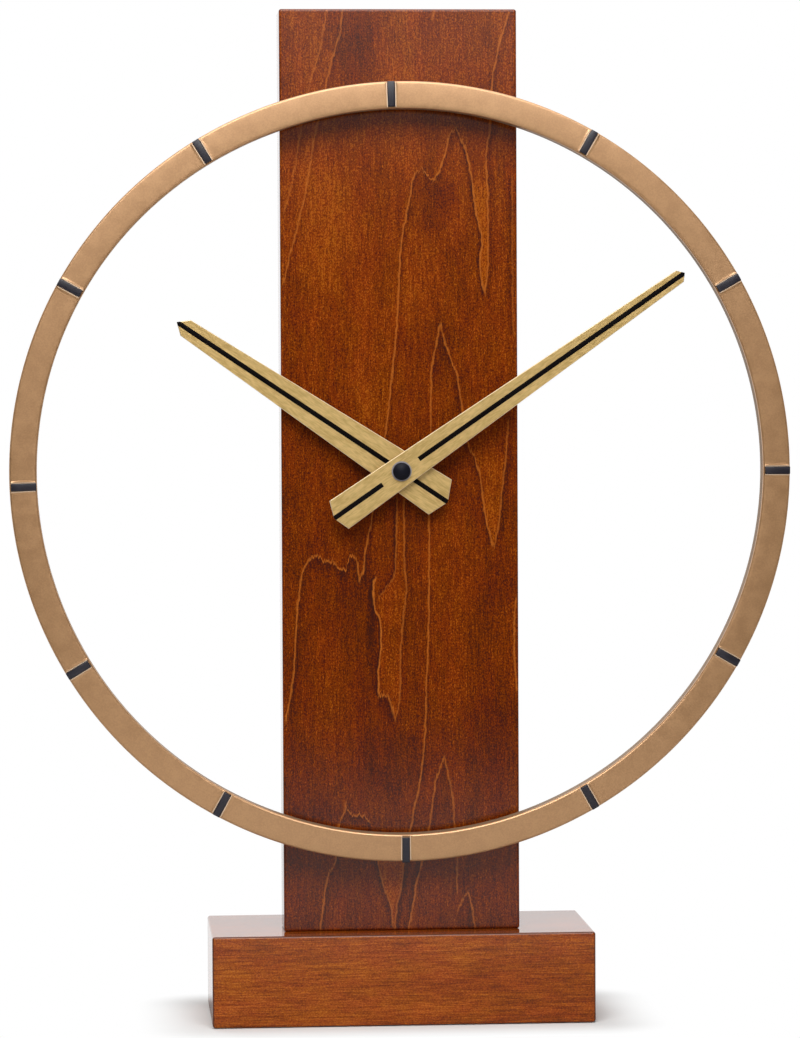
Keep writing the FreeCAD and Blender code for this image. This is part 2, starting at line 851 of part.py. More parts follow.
centre_phase = 0.0
third_pinion_phase = meshing_phase(centre_teeth, centre_phase, third_pinion_teeth, third_direction)
third_phase = third_pinion_phase
seconds_pinion_phase = meshing_phase(third_teeth, third_phase, seconds_pinion_teeth,
                                     third_direction + half_turn)
seconds_phase = seconds_pinion_phase
intermediate_pinion_phase = meshing_phase(seconds_teeth, seconds_phase,
                                          intermediate_pinion_teeth, intermediate_direction)
intermediate_phase = intermediate_pinion_phase
rotor_phase = meshing_phase(intermediate_teeth, intermediate_phase, rotor_pinion_teeth, rotor_direction)
cannon_phase = 0.0
minute_wheel_phase = meshing_phase(cannon_teeth, cannon_phase, minute_wheel_teeth,
                                   minute_wheel_direction)
minute_pinion_phase = minute_wheel_phase
hour_wheel_phase = meshing_phase(minute_pinion_teeth, minute_pinion_phase, hour_wheel_teeth,
                                 minute_wheel_direction + half_turn)
setting_phase = meshing_phase(minute_wheel_teeth, minute_wheel_phase, setting_teeth,
                              setting_direction)


def make_centre_wheel():
    return gear(centre_axis, centre_teeth, centre_module, centre_phase,
                layer(centre_wheel_layer), cannon_stub_radius + run_clearance)


def make_slip_spring():
    span = (cannon_span()[1], layer(centre_wheel_layer)[0] - run_clearance)
    return tube(centre_axis, slip_spring_radius, cannon_stub_radius, span)


def make_third_wheel():
    pinion_y = (front_of(centre_wheel_layer), layer(third_wheel_layer)[0])
    return fused([
        gear(third_axis, third_pinion_teeth, centre_module, third_pinion_phase, pinion_y, 0, 3),
        gear(third_axis, third_teeth, third_module, third_phase, layer(third_wheel_layer), 0),
        arbor(third_axis),
    ])


def make_seconds_wheel():
    pinion_y = (front_of(third_wheel_layer), layer(seconds_wheel_layer)[0])
    return fused([
        gear(centre_axis, seconds_pinion_teeth, third_module, seconds_pinion_phase, pinion_y, 0, 3),
        gear(centre_axis, seconds_teeth, seconds_module, seconds_phase, layer(seconds_wheel_layer), 0),
        rod(centre_axis, seconds_arbor_radius, (cannon_span()[0], bridge_back)),
    ])


def make_intermediate_wheel():
    pinion_y = (front_of(seconds_wheel_layer), layer(intermediate_wheel_layer)[0])
    return fused([
        gear(intermediate_axis, intermediate_pinion_teeth, seconds_module,
             intermediate_pinion_phase, pinion_y, 0, 3),
        gear(intermediate_axis, intermediate_teeth, intermediate_module, intermediate_phase,
             layer(intermediate_wheel_layer), 0),
        arbor(intermediate_axis),
    ])


def make_rotor_pinion():
    pinion_y = (front_of(intermediate_wheel_layer), layer(magnet_layer)[0])
    return fused([
        gear(rotor_axis, rotor_pinion_teeth, intermediate_module, rotor_phase, pinion_y, 0, 3),
        arbor(rotor_axis),
    ])


def make_rotor_magnet():
    return tube(rotor_axis, magnet_radius, pivot_radius, layer(magnet_layer, magnet_length))


def cannon_span():
    return pinion_span(minute_wheel_layer)


def make_minute_arbor():
    """Cannon pinion, the pipe inside the hour pipe, and the threaded tip."""
    front, back = cannon_span()
    stub_back = layer(centre_wheel_layer)[1] + boss_end_gap
    tip_front = cap_front + cap_wall
    arbor_pieces = [
        gear(centre_axis, cannon_teeth, cannon_module, cannon_phase, (front, back), 0, 3),
        rod(centre_axis, cannon_radius, (minute_hand_back, front)),
        rod(centre_axis, cannon_tip_radius, (tip_front, minute_hand_back)),
        rod(centre_axis, cannon_stub_radius, (back, stub_back)),
    ]
    bore = rod(centre_axis, seconds_bore, (front - boss_end_gap, stub_back))
    return fused(arbor_pieces).cut(bore)


def make_minute_wheel():
    bore = minute_post_radius + run_clearance
    pinion_y = (layer(hour_wheel_layer)[0] - pinion_overhang, layer(minute_wheel_layer)[0])
    return fused([
        gear(minute_wheel_axis, minute_wheel_teeth, cannon_module, minute_wheel_phase,
             layer(minute_wheel_layer), bore),
        gear(minute_wheel_axis, minute_pinion_teeth, hour_module, minute_pinion_phase,
             pinion_y, bore, 3),
    ])


def make_hour_wheel():
    """The hour wheel and the pipe that carries the hour hand."""
    front, back = layer(hour_wheel_layer)
    pipe_front = hour_hand_front - pipe_stand_out
    wheel = gear(centre_axis, hour_wheel_teeth, hour_module, hour_wheel_phase, (front, back), 0)
    pipe = rod(centre_axis, hour_pipe_radius, (pipe_front, front))
    return fused([wheel, pipe]).cut(rod(centre_axis, hour_pipe_bore, (pipe_front, back)))


def make_setting_knob():
    """Knob, shaft and pinion in one moulding."""
    knob_front = case_back + knob_gap
    knob = rod(setting_axis, knob_radius, (knob_front, knob_front + knob_height))
    flutes = [rod(on_dial(360.0 / knob_flutes * k, knob_radius, setting_axis), knob_flute_radius,
                  (knob_front, knob_front + knob_height)) for k in range(knob_flutes)]
    shaft = rod(setting_axis, setting_shaft_radius, (case_inside + knob_gap, knob_front))
    pinion = gear(setting_axis, setting_teeth, cannon_module, setting_phase, cannon_span(), 0, 3)
    return fused([knob.cut(Part.makeCompound(flutes)), shaft, pinion])


# ------------------------------------------------------- stepping motor and circuit
def make_stator():
    """Soft iron plate: a bar with the rotor's lobe, and an arm to each end of the coil core."""
    y = (stator_front, core_front)
    lobe_low = rotor_axis[1] - stator_bar_width / 4
    top = coil_height + coil_core_width / 2
    left = coil_core_left
    right = coil_core_right
    bar = plate([(left, lobe_low), (rotor_axis[0], lobe_low),
                 (rotor_axis[0], lobe_low + stator_bar_width), (left, lobe_low + stator_bar_width)], y)
    left_arm = plate([(left, lobe_low), (left + stator_bar_width, lobe_low),
                      (left + stator_bar_width, top), (left, top)], y)
    right_arm = plate([(right - stator_bar_width, rotor_axis[1]), (right, rotor_axis[1]),
                       (right, top), (right - stator_bar_width, top)], y)
    lobe = rod(rotor_axis, stator_lobe_radius, y)
    cuts = [rod(rotor_axis, magnet_radius + stator_air_gap, y)]
    cuts += [rod(place, small_screw_radius, y) for place in core_screw_places]
    return fused([bar, left_arm, right_arm, lobe]).cut(Part.makeCompound(cuts))


def core_section(room=0.0):
    """Depth and height of the coil core, with room around it."""
    half = coil_core_width / 2 + room
    return ((core_front - room, core_front + stator_thickness + room),
            (pivot_height + coil_height - half, pivot_height + coil_height + half))


def make_coil_core():
    y, z = core_section()
    core = box((coil_core_left, coil_core_right), y, z)
    return core.cut(Part.makeCompound([rod(place, small_screw_radius, y)
                                       for place in core_screw_places]))


def make_core_screws():
    seat = core_front + stator_thickness
    tip = stator_front - small_screw_bite
    return group([small_screw(place, seat, tip) for place in core_screw_places])


def along_coil(radius, left, right):
    start = Vector(left, core_front + stator_thickness / 2, pivot_height + coil_height)
    return Part.makeCylinder(radius, right - left, start, Vector(1, 0, 0))


def make_bobbin():
    left_flange = along_coil(coil_flange_radius, coil_left, coil_left + coil_flange_thickness)
    right_flange = along_coil(coil_flange_radius, coil_right - coil_flange_thickness, coil_right)
    body = fused([along_coil(coil_tube_radius, coil_left, coil_right), left_flange, right_flange])
    y, z = core_section(core_room)
    return body.cut(box((coil_left, coil_right), y, z))


def make_winding():
    left = coil_left + coil_flange_thickness
    right = coil_right - coil_flange_thickness
    return along_coil(winding_radius, left, right).cut(along_coil(coil_tube_radius, left, right))


def make_circuit_board():
    x = (circuit_left, circuit_left + circuit_width)
    z = (pivot_height + circuit_bottom, pivot_height + circuit_bottom + circuit_height)
    return box(x, (circuit_front, circuit_back), z)


def make_chip():
    x = circuit_left + circuit_width / 2
    z = pivot_height + circuit_bottom + circuit_height / 2
    half = chip_side / 2
    return box((x - half, x + half), (circuit_back, circuit_back + chip_height), (z - half, z + half))


def make_crystal():
    x = circuit_left + circuit_width / 2
    z = pivot_height + circuit_bottom + circuit_height - chip_side
    start = Vector(x - crystal_length / 2, circuit_back + crystal_radius, z)
    return Part.makeCylinder(crystal_radius, crystal_length, start, Vector(1, 0, 0))


# ----------------------------------------------------------------------- battery
def along_cell(radius, left, right):
    start = Vector(left, battery_middle, pivot_height + battery_height)
    return Part.makeCylinder(radius, right - left, start, Vector(1, 0, 0))


def make_cell():
    return along_cell(battery_radius, battery_left + battery_cap_length,
                      battery_right - battery_nub_length - battery_cap_length)


def make_cell_ends():
    shoulder = battery_right - battery_nub_length
    positive = fused([along_cell(battery_radius, shoulder - battery_cap_length, shoulder),
                      along_cell(battery_nub_radius, shoulder, battery_right)])
    negative = along_cell(battery_radius, battery_left, battery_left + battery_cap_length)
    return group([positive, negative])


def make_positive_contact():
    """A flat plate behind the cell's nub, with a leg up to the circuit board."""
    y = contact_y()
    low = pivot_height + battery_height - contact_width
    outer = half_room
    inner = half_room - contact_thickness
    fold = pivot_height + bay_wall_top + contact_thickness
    upright = box((inner, outer), y, (low, fold))
    tab = box((circuit_left + circuit_width - contact_width, outer), (y[0], y[0] + contact_thickness),
              (fold - contact_thickness, fold))
    return fused([upright, tab])


def make_negative_contact():
    """A sprung leaf against the cell's flat end, with a long strip to the circuit board."""
    y = contact_y()
    low = pivot_height + battery_height - contact_width
    wall = -half_room
    strip_low = pivot_height + bay_wall_top
    upright = box((wall, wall + contact_leaf), y, (low, strip_low + contact_leaf))
    strip = box((wall, circuit_left + contact_leaf), (y[0], y[0] + contact_leaf * 4),
                (strip_low, strip_low + contact_leaf))
    bow = [(wall, low - pivot_height), (wall + contact_leaf, low - pivot_height),
           (battery_left, battery_height), (wall + contact_leaf, battery_height + contact_width),
           (wall, battery_height + contact_width),
           (battery_left - contact_leaf, battery_height)]
    leaf = plate(bow, y)
    return fused([upright, leaf, strip])


# -------------------------------------------------------------------- write files
hour_hand, hour_stripe = make_hour_hand()
minute_hand, minute_stripe = make_minute_hand()

nodes = {
    "base_block": make_base_block(),
    "base_felt_pad": make_felt_pad(),
    "upright_board": make_board(),
    "board_dowels": make_dowels(),
    "base_screws": make_base_screws(),
    "dial_ring": make_ring(),
    "hour_marker_bars": make_marker_bars(),
    "ring_standoffs": make_standoffs(),
    "ring_screws": make_ring_screws(),
    "hour_hand": hour_hand,
    "hour_hand_stripe": hour_stripe,
    "minute_hand": minute_hand,
    "minute_hand_stripe": minute_stripe,
    "hand_cap_nut": make_cap_nut(),
    "threaded_bush": make_bush(),
    "movement_gasket": make_gasket(),
    "fixing_washer": make_washer(),
    "fixing_nut": make_nut(),
    "movement_case": make_case(),
    "movement_cover": make_cover(),
    "train_bridge": make_bridge(),
    "bridge_screws": make_bridge_screws(),
    "centre_wheel": make_centre_wheel(),
    "slip_spring": make_slip_spring(),
    "third_wheel": make_third_wheel(),
    "seconds_wheel": make_seconds_wheel(),
    "intermediate_wheel": make_intermediate_wheel(),
    "rotor_pinion": make_rotor_pinion(),
    "rotor_magnet": make_rotor_magnet(),
    "minute_arbor": make_minute_arbor(),
    "minute_wheel": make_minute_wheel(),
    "hour_wheel": make_hour_wheel(),
    "setting_knob": make_setting_knob(),
    "stator_plate": make_stator(),
    "coil_core": make_coil_core(),
    "core_screws": make_core_screws(),
    "coil_bobbin": make_bobbin(),
    "coil_winding": make_winding(),
    "circuit_board": make_circuit_board(),
    "timing_chip": make_chip(),
    "quartz_crystal": make_crystal(),
    "battery_cell": make_cell(),
    "battery_ends": make_cell_ends(),
    "positive_contact": make_positive_contact(),
    "negative_contact": make_negative_contact(),
}

os.makedirs("parts", exist_ok=True)
for name, shape in nodes.items():
    shape.exportStep(os.path.join("parts", name + ".step"))
    print(name, len(shape.Solids), "solids", round(shape.Volume, 1), "mm3", shape.isValid())
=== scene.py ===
import json
import math

import bmesh
import bpy
from mathutils import Matrix, Vector

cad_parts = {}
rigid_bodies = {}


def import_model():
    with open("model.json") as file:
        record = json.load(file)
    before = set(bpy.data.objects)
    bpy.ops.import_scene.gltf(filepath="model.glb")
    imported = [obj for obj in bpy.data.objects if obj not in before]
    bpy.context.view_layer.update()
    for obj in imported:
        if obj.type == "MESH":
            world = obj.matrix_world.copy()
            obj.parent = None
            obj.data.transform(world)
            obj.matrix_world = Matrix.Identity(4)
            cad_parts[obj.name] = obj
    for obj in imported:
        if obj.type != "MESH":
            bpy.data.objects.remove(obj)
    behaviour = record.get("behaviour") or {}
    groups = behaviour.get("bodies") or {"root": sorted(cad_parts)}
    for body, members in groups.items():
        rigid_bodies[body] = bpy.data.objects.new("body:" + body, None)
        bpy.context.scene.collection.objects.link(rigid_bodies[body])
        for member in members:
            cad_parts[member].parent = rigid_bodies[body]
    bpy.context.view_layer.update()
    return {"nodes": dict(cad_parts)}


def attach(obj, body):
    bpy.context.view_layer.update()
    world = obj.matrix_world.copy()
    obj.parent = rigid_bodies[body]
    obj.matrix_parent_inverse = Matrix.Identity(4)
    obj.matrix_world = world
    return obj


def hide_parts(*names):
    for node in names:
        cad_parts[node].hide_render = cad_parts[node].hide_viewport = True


# Looks of a table clock: a stained board on a stained block, an open metal ring with
# twelve enamelled bars, two brass hands, and a quartz movement in the back.
# Lengths below are in millimetres; MM turns them into metres. X is to the right,
# Y away from the viewer, Z up, the same frame as the CAD model.

for leftover in list(bpy.data.objects):
    bpy.data.objects.remove(leftover)
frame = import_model()
nodes = frame["nodes"]

MM = 0.001

# sizes repeated from the construction
PIVOT = 199.2
BOARD_HALF = 42.7
BOARD_TOP = 364.8
BASE_TOP = 33.0
BASE_HALF = 69.0
BASE_FRONT = -30.0
FELT_TOP = 1.2
FELT_HALF = (65.0, 26.0)

# the ring: radii, depths, the radius of its lips, and how its face curves and leans back
RING_OUTER = 139.97
RING_INNER = 130.2
RING_FRONT = -29.7
RING_BACK = -22.2
RING_LIP = 0.8
RING_CROWN = 0.08
RING_LEAN = 1.3
# its hollow back, with ribs between the bars and four bosses
RING_FLOOR = -26.7
RING_WALL = 1.9
RIB_HALF = 0.6
BOSS_RADIUS = 3.95
BOSS_BORE = 1.45
BOSS_ANGLES = [-10.5, 10.5, 169.5, 190.5]
# the whole ring's turn, and where it is out of round: amount, middle and reach in degrees
RING_TWIST = -0.6
RING_DENT = (-1.15, 341.0, 32.0)

# the twelve bars: how far each is off its even place, in degrees, and how far two of them
# sit further in (or out) than the others
MARKER_SLIP = [-0.8, 0.5, 1.0, 0.8, 0.6, 0.9, 0.3, -0.6, -0.5, -1.4, -0.2, -1.2]
MARKER_SINK = {6: -0.35, 9: 0.5}
MARKER_HALF = 1.33
MARKER_INSET = 0.7
MARKER_FRONT = -30.0
MARKER_DEPTH = 1.3
MARKER_BEVEL = 0.22
# the saddle under a bar: its seat, its thin rim (from, to, off the bar's middle), its flanks
# (least width and what is added half way along), and how far its outer end lies back
SEAT_FLOOR = -29.2
SADDLE_FRONT = -29.84
SADDLE_RIM = (1.42, 1.76)
FLANK_WIDTH = (0.35, 0.60)
SEAT_LEAN = 0.4

# each hand: angle, front face, then ahead of the axis and behind it: how far its point,
# its shoulder and the near end of its stripe are, and its width at the shoulder
HANDS = {
    "hour": (303.9, -23.2, ((96.4, 92.6, 4.3, 6.7), (20.3, 17.0, 4.3, 15.0))),
    "minute": (55.4, -26.0, ((124.4, 122.3, 7.6, 4.9), (29.5, 27.3, 8.3, 12.1))),
}
STRIPE_HALF = 0.86

# edges between faces that meet at more than this many degrees stay sharp
SMOOTH_ANGLE = 35.0

# the photograph's camera: yaw, pitch and roll in degrees, place in metres, lens in millimetres
CAMERA_ANGLES = (4.248, -2.230, -0.278)
CAMERA_PLACE = (-0.11173, -1.5214, 0.24049)
CAMERA_LENS = 188.47
SENSOR_WIDTH = 36.0


# ---------------------------------------------------------------------- node trees
class Tree:
    """Writes one material's nodes."""

    def __init__(self, name):
        self.material = bpy.data.materials.new(name)
        self.material.use_nodes = True
        self.nodes = self.material.node_tree.nodes
        self.links = self.material.node_tree.links
        self.nodes.clear()
        self.output = self.nodes.new("ShaderNodeOutputMaterial")

    def put(self, socket, value):
        """Links a socket to another one, or sets its value; None leaves it as it is."""
        if value is None:
            return
        if isinstance(value, bpy.types.NodeSocket):
            self.links.new(value, socket)
        else:
            socket.default_value = value

    def math(self, operation, *values, clamp=False):
        node = self.nodes.new("ShaderNodeMath")
        node.operation = operation
        node.use_clamp = clamp
        for socket, value in zip(node.inputs, values):
            self.put(socket, value)
        return node.outputs[0]

    def span(self, value, low, high, to_low=0.0, to_high=1.0):
        """A value's place between low and high, as a soft step; low may be above high."""
        node = self.nodes.new("ShaderNodeMapRange")
        node.interpolation_type = "SMOOTHSTEP"
        for socket, item in zip(node.inputs, (value, low, high, to_low, to_high)):
            self.put(socket, item)
        return node.outputs[0]

    def vector(self, x=0.0, y=0.0, z=0.0):
        node = self.nodes.new("ShaderNodeCombineXYZ")
        for socket, value in zip(node.inputs, (x, y, z)):
            self.put(socket, value)
        return node.outputs[0]

    def split(self, vector):
        node = self.nodes.new("ShaderNodeSeparateXYZ")
        self.put(node.inputs[0], vector)
        return node.outputs

    def place(self):
        """x, y and z of the surface point in millimetres, in the frame of the model."""
        node = self.nodes.new("ShaderNodeTexCoord")
        scaled = self.nodes.new("ShaderNodeVectorMath")
        scaled.operation = "SCALE"
        self.put(scaled.inputs[0], node.outputs["Object"])
        scaled.inputs["Scale"].default_value = 1 / MM
        self.facing = node.outputs["Normal"]
        return self.split(scaled.outputs[0])

    def stretched(self, place, pitch, shift=0.0, detail=2.0, roughness=0.5, distortion=0.0):
        """Noise whose lumps are about pitch millimetres along x, y and z."""
        moved = [self.math("MULTIPLY_ADD", value, 1.0 / size, shift)
                 for value, size in zip(place, pitch)]
        node = self.nodes.new("ShaderNodeTexNoise")
        self.put(node.inputs["Vector"], self.vector(*moved))
        node.inputs["Scale"].default_value = 1.0
        node.inputs["Detail"].default_value = detail
        node.inputs["Roughness"].default_value = roughness
        node.inputs["Distortion"].default_value = distortion
        return node.outputs[0]

    def ramp(self, factor, stops):
        node = self.nodes.new("ShaderNodeValToRGB")
        elements = node.color_ramp.elements
        while len(elements) < len(stops):
            elements.new(0.5)
        for element, (position, colour) in zip(elements, stops):
            element.position = position
            element.color = (*colour, 1.0)
        self.put(node.inputs[0], factor)
        return node.outputs[0]

    def mix(self, factor, first, second, blend="MIX"):
        node = self.nodes.new("ShaderNodeMix")
        node.data_type = "RGBA"
        node.blend_type = blend
        for index, value in ((0, factor), (6, first), (7, second)):
            if isinstance(value, tuple):
                value = (*value, 1.0)
            self.put(node.inputs[index], value)
        return node.outputs[2]

    def curve(self, value, points):
        """A soft curve through points; value and results run from 0 to 1."""
        node = self.nodes.new("ShaderNodeFloatCurve")
        curve = node.mapping.curves[0]
        while len(curve.points) < len(points):
            curve.points.new(0.5, 0.5)
        for point, (at, result) in zip(curve.points, points):
            point.location = (at, result)
            point.handle_type = "AUTO_CLAMPED"
        node.mapping.update()
        self.put(node.inputs["Value"], value)
        return node.outputs[0]

    def bump(self, height, strength, distance):
        node = self.nodes.new("ShaderNodeBump")
        node.inputs["Strength"].default_value = strength
        node.inputs["Distance"].default_value = distance * MM
        self.put(node.inputs["Height"], height)
        return node.outputs[0]

    def surface(self, **values):
        """The Principled shader; names are its sockets with _ for spaces."""
        node = self.nodes.new("ShaderNodeBsdfPrincipled")
        for name, value in values.items():
            socket = node.inputs[name.replace("_", " ")]
            if isinstance(value, tuple) and len(value) == 3:
                value = (*value, 1.0)
            self.put(socket, value)
        self.links.new(node.outputs[0], self.output.inputs["Surface"])
        return self.material


# ---------------------------------------------------------------------------- wood
# stain from its darkest to its lightest tone, and the colour of pale growth lines
BOARD_STAIN = [(0.0, (0.048, 0.0105, 0.0060)), (0.30, (0.112, 0.0170, 0.0025)),
               (0.52, (0.180, 0.0288, 0.0018)), (0.76, (0.252, 0.0430, 0.0020)),
               (1.0, (0.410, 0.0980, 0.0060))]
BOARD_LINE = (0.500, 0.135, 0.0160)
BASE_STAIN = [(0.0, (0.080, 0.020, 0.0070)), (0.30, (0.158, 0.0320, 0.0050)),
              (0.52, (0.245, 0.0480, 0.0055)), (0.76, (0.330, 0.0710, 0.0070)),
              (1.0, (0.480, 0.1300, 0.0120))]
BASE_LINE = (0.480, 0.135, 0.0160)
# the tint wanders between a redder and a yellower one
RED_TINT = (1.02, 0.93, 1.14)
YELLOW_TINT = (0.98, 1.06, 0.88)


def fibres(tree, along, across, deep):
    """Fine streaks, short pores, specks and broad patches of wood whose grain runs along one axis."""
    place = (across, deep, along)
    return {"streak": tree.stretched(place, (0.50, 1.4, 8.0), 3.1, detail=2.0, roughness=0.6),
            "bands": tree.stretched(place, (5.0, 6.0, 120.0), 7.7, detail=2.0),
            "patch": tree.stretched(place, (13.0, 13.0, 30.0), 1.3, detail=4.0, roughness=0.6,
                                    distortion=0.4),
            "pore": tree.stretched(place, (0.50, 0.8, 2.4), 5.9, detail=2.0, roughness=0.7),
            "speck": tree.stretched(place, (0.42, 0.5, 0.62), 9.2, detail=1.5, roughness=0.7),
            "hue": tree.stretched(place, (8.0, 8.0, 22.0), 2.2, detail=5.0, roughness=0.72)}


def stained_wood(name, make_tone, stain, line):
    """Red-brown stain under clear lacquer.

    make_tone returns the tone, masks of pale lines and of dark marks, the relief and the hue."""
    tree = Tree(name)
    tone, light, dark, height, hue = make_tone(tree)
    tint = tree.mix(tree.span(hue, 0.34, 0.66), RED_TINT, YELLOW_TINT)
    colour = tree.mix(1.0, tree.ramp(tone, stain), tint, "MULTIPLY")
    colour = tree.mix(light, colour, line)
    colour = tree.mix(dark, colour, stain[0][1])
    relief = tree.bump(height, 0.10, 0.05)
    return tree.surface(Base_Color=colour, Roughness=0.5, Specular_IOR_Level=0.0, Normal=relief,
                        Coat_Weight=1.0, Coat_Roughness=0.10, Coat_IOR=1.38)


def plain_tone(tree, fibre, level, shares):
    """An even tone that each kind of fibre shifts by its share."""
    tone = level
    for part, share in shares.items():
        tone = tree.math("ADD", tone, tree.math("MULTIPLY", tree.math("SUBTRACT", fibre[part], 0.5), share))
    return tone


# Growth lines on the front of the board. Each runs down the grain through points of
# (millimetres below the top, x), with its strength, the side that is shaded dark
# (-1 left, 1 right) and how dark that is.
LINES = {
    "left_outer": ([(0, -25.5), (13, -27.7), (27, -31.7), (46, -35.4), (62, -38.3), (73, -41.3)], 0.5, 1, 0.25),
    "left_inner": ([(0, -20), (6, -20.5), (21, -24.5), (43, -29.6), (64, -33.3), (77, -36.3),
                    (88, -39.2), (98, -41.8)], 0.7, 1, 0.3),
    "top_mark": ([(0, 13), (4, 12.4)], 0.7, 0, 0),
    "right_top": ([(1, 40), (8, 37.8), (15, 36), (27, 33.8), (43, 33), (54, 31.5), (66, 32.2), (91, 32.1),
                   (102, 31)], 0.8, 1, 0.45),
    "peak_a_left": ([(43, 20.8), (46, 18.2), (52, 16.8), (58, 14.6), (61, 12.8)], 1.0, 1, 0.5),
    "peak_a_notch": ([(57, 8.8), (59.5, 10.6), (61, 12.8)], 1.0, -1, 0.4),
    "peak_a_long": ([(57, 8.8), (60, 5.6), (67, 4.1), (74, 2.7), (84, 0.8), (95, 0), (110, -0.7), (134, -3),
                     (150, -4.9), (167, -7.8), (184, -10.4), (195, -12.6), (201, -13.3), (205, -14.8)],
                    0.8, 1, 0.4),
    "peak_a_right": ([(43, 20.8), (48, 23.3), (53, 25), (62, 26.5), (74, 28.2), (84, 30), (91, 29.2),
                      (102, 30.8)], 0.9, -1, 0.8),
    "peak_b_left": ([(113, 14.7), (120, 13.3), (131, 11.4), (153, 11.3), (181, 10.5), (200, 10.4), (224, 10),
                     (244, 9.2), (259, 8.7), (279, 6.5), (287, 4.7), (296, 3)], 0.75, 1, 0.3),
    "peak_b_right": ([(113, 14.7), (118, 16.1), (125, 18.3), (131, 20.7), (141, 22.2), (156, 24.6),
                      (162, 27.5), (170, 29.3), (181, 30.6), (193, 33.5)], 0.8, -1, 0.5),
    "peak_b_far": ([(148, 39.4), (160, 38.3), (174, 36.8), (185, 35.7), (193, 33.8)], 0.6, 1, 0.3),
    "arch_left": ([(197, -32.8), (201, -34.9), (215, -37.2), (238, -38.7), (248, -40.2), (256, -41.6)],
                  0.8, 1, 0.4),
    "arch_tooth": ([(196, -16.9), (198, -15.8), (205, -14.8)], 0.8, -1, 0.4),
    "wedge_left": ([(176, -1), (189, -1.4), (203, -2.2), (208, -5.4), (211, -7.6)], 0.5, -1, 0.6),
    "wedge_low_left": ([(204, -9), (207, -9.8), (212, -9.8), (220, -7.3), (228, -7), (238, -8.1),
                        (245, -8.1), (247, -7.1)], 1.0, -1, 1.0),
    "wedge_tip_left": ([(246, -4.8), (250, -3.5), (255, -2.3)], 0.8, -1, 0.5),
    "wedge_right": ([(176, 1.4), (200, 1.4), (208, 2.1), (215, 1.4), (228, 0.2), (240, -0.2), (250, -0.6),
                     (255, -2.2)], 0.6, 1, 0.2),
    "low_peak_left": ([(269, 15.6), (277, 12.6), (287, 11.2), (296, 9.6)], 0.7, 1, 0.3),
    "low_peak_right": ([(269, 15.6), (275, 16.9), (283, 18.4), (292, 19), (306, 20.1), (318, 20)],
                       0.6, -1, 0.3),
    "low_arch_left": ([(285, -20), (288, -20.4), (293, -22.7), (299, -24), (306, -23.8), (311, -26.7),
                       (320, -28.2), (331, -29.5)], 0.7, 1, 0.4),
    "foot_wedge_left": ([(298, -9.8), (306, -8.7), (316, -6.6), (323, -4.1), (331, -3.4)], 0.7, -1, 0.5),
    "foot_wedge_right": ([(298, 1), (306, 0.6), (316, -0.1), (323, -1.9), (331, -2.7)], 0.6, 1, 0.7),
    "foot_line": ([(298, 9), (307, 7.5), (313, 5.7), (320, 4.5), (331, 2.5)], 0.8, -1, 0.6),
    "foot_peak_left": ([(318, 24), (322, 21.5), (325, 20.5)], 0.7, 1, 0.3),
    "foot_peak_right": ([(318, 24), (324, 25.4), (331, 26.3)], 0.7, -1, 0.4),
    "right_edge": ([(212, 41.8), (220, 41.2), (232, 41.2), (244, 42)], 0.8, 0, 0),
    "right_rim": ([(60, 41), (90, 41), (116, 41.3)], 0.35, -1, 0.4),
}
# Lines that run across the grain, through points of (x, millimetres below the top), with
# their strength and how dark the wood below them is.
ARCHES = [
    ([(-33.2, 198), (-30.2, 196), (-27.4, 198), (-24.8, 198), (-21.6, 201), (-19.8, 201), (-18.4, 197),
      (-16.6, 196)], 0.9, 0.6),
    ([(-20.2, 287), (-17.3, 290), (-14, 290), (-11.5, 293)], 0.8, 0.5),
    ([(-8.2, 247), (-7.1, 247.3), (-4.8, 246)], 0.8, 0.5),
]
# pale early wood between two lines, from and to millimetres below the top, and how pale
FILLS = [("peak_a_right", "right_top", 60, 103, 0.5), ("peak_b_right", "peak_b_far", 158, 194, 0.4),
         ("wedge_low_left", "wedge_right", 208, 247, 0.35), ("wedge_left", "wedge_right", 170, 212, 0.3),
         ("wedge_tip_left", "wedge_right", 244, 255, 0.4),
         ("foot_wedge_left", "foot_wedge_right", 298, 331, 0.5)]
# soft patches of lighter or darker stain: x, millimetres below the top, half sizes, amount
PATCHES = [(-16, 14, 9, 20, -0.22), (-27, 75, 13, 34, 0.14), (9, 69, 8, 12, -0.14),
           (15, 124, 5, 14, -0.16), (-10.4, 222, 1.6, 20, -0.30), (-17, 216, 10, 24, -0.08),
           (17, 66, 4.5, 7, -0.16), (6, 100, 9, 22, 0.05), (-30, 246, 9, 22, 0.10),
           (18, 216, 12, 46, 0.10), (-5, 272, 14, 14, -0.12), (22, 90, 7, 14, -0.10),
           (-8, 130, 16, 40, 0.06), (-36, 300, 14, 40, -0.10), (37, 262, 8, 22, -0.12),
           (-25, 30, 8, 16, 0.06), (30, 330, 20, 20, -0.08)]
LINE_WIDTH = 0.55
# how wide the dark shade beside a line is, also where it is narrower, and how much it darkens
SHADE_WIDTH = 3.2
NARROW_SHADE = {"wedge_low_left": 1.7, "wedge_left": 2.0, "peak_a_right": 2.2, "peak_a_long": 2.2,
                "peak_b_left": 2.0}
ARCH_SHADE_WIDTH = 6.0
SHADE_DEPTH = 0.55


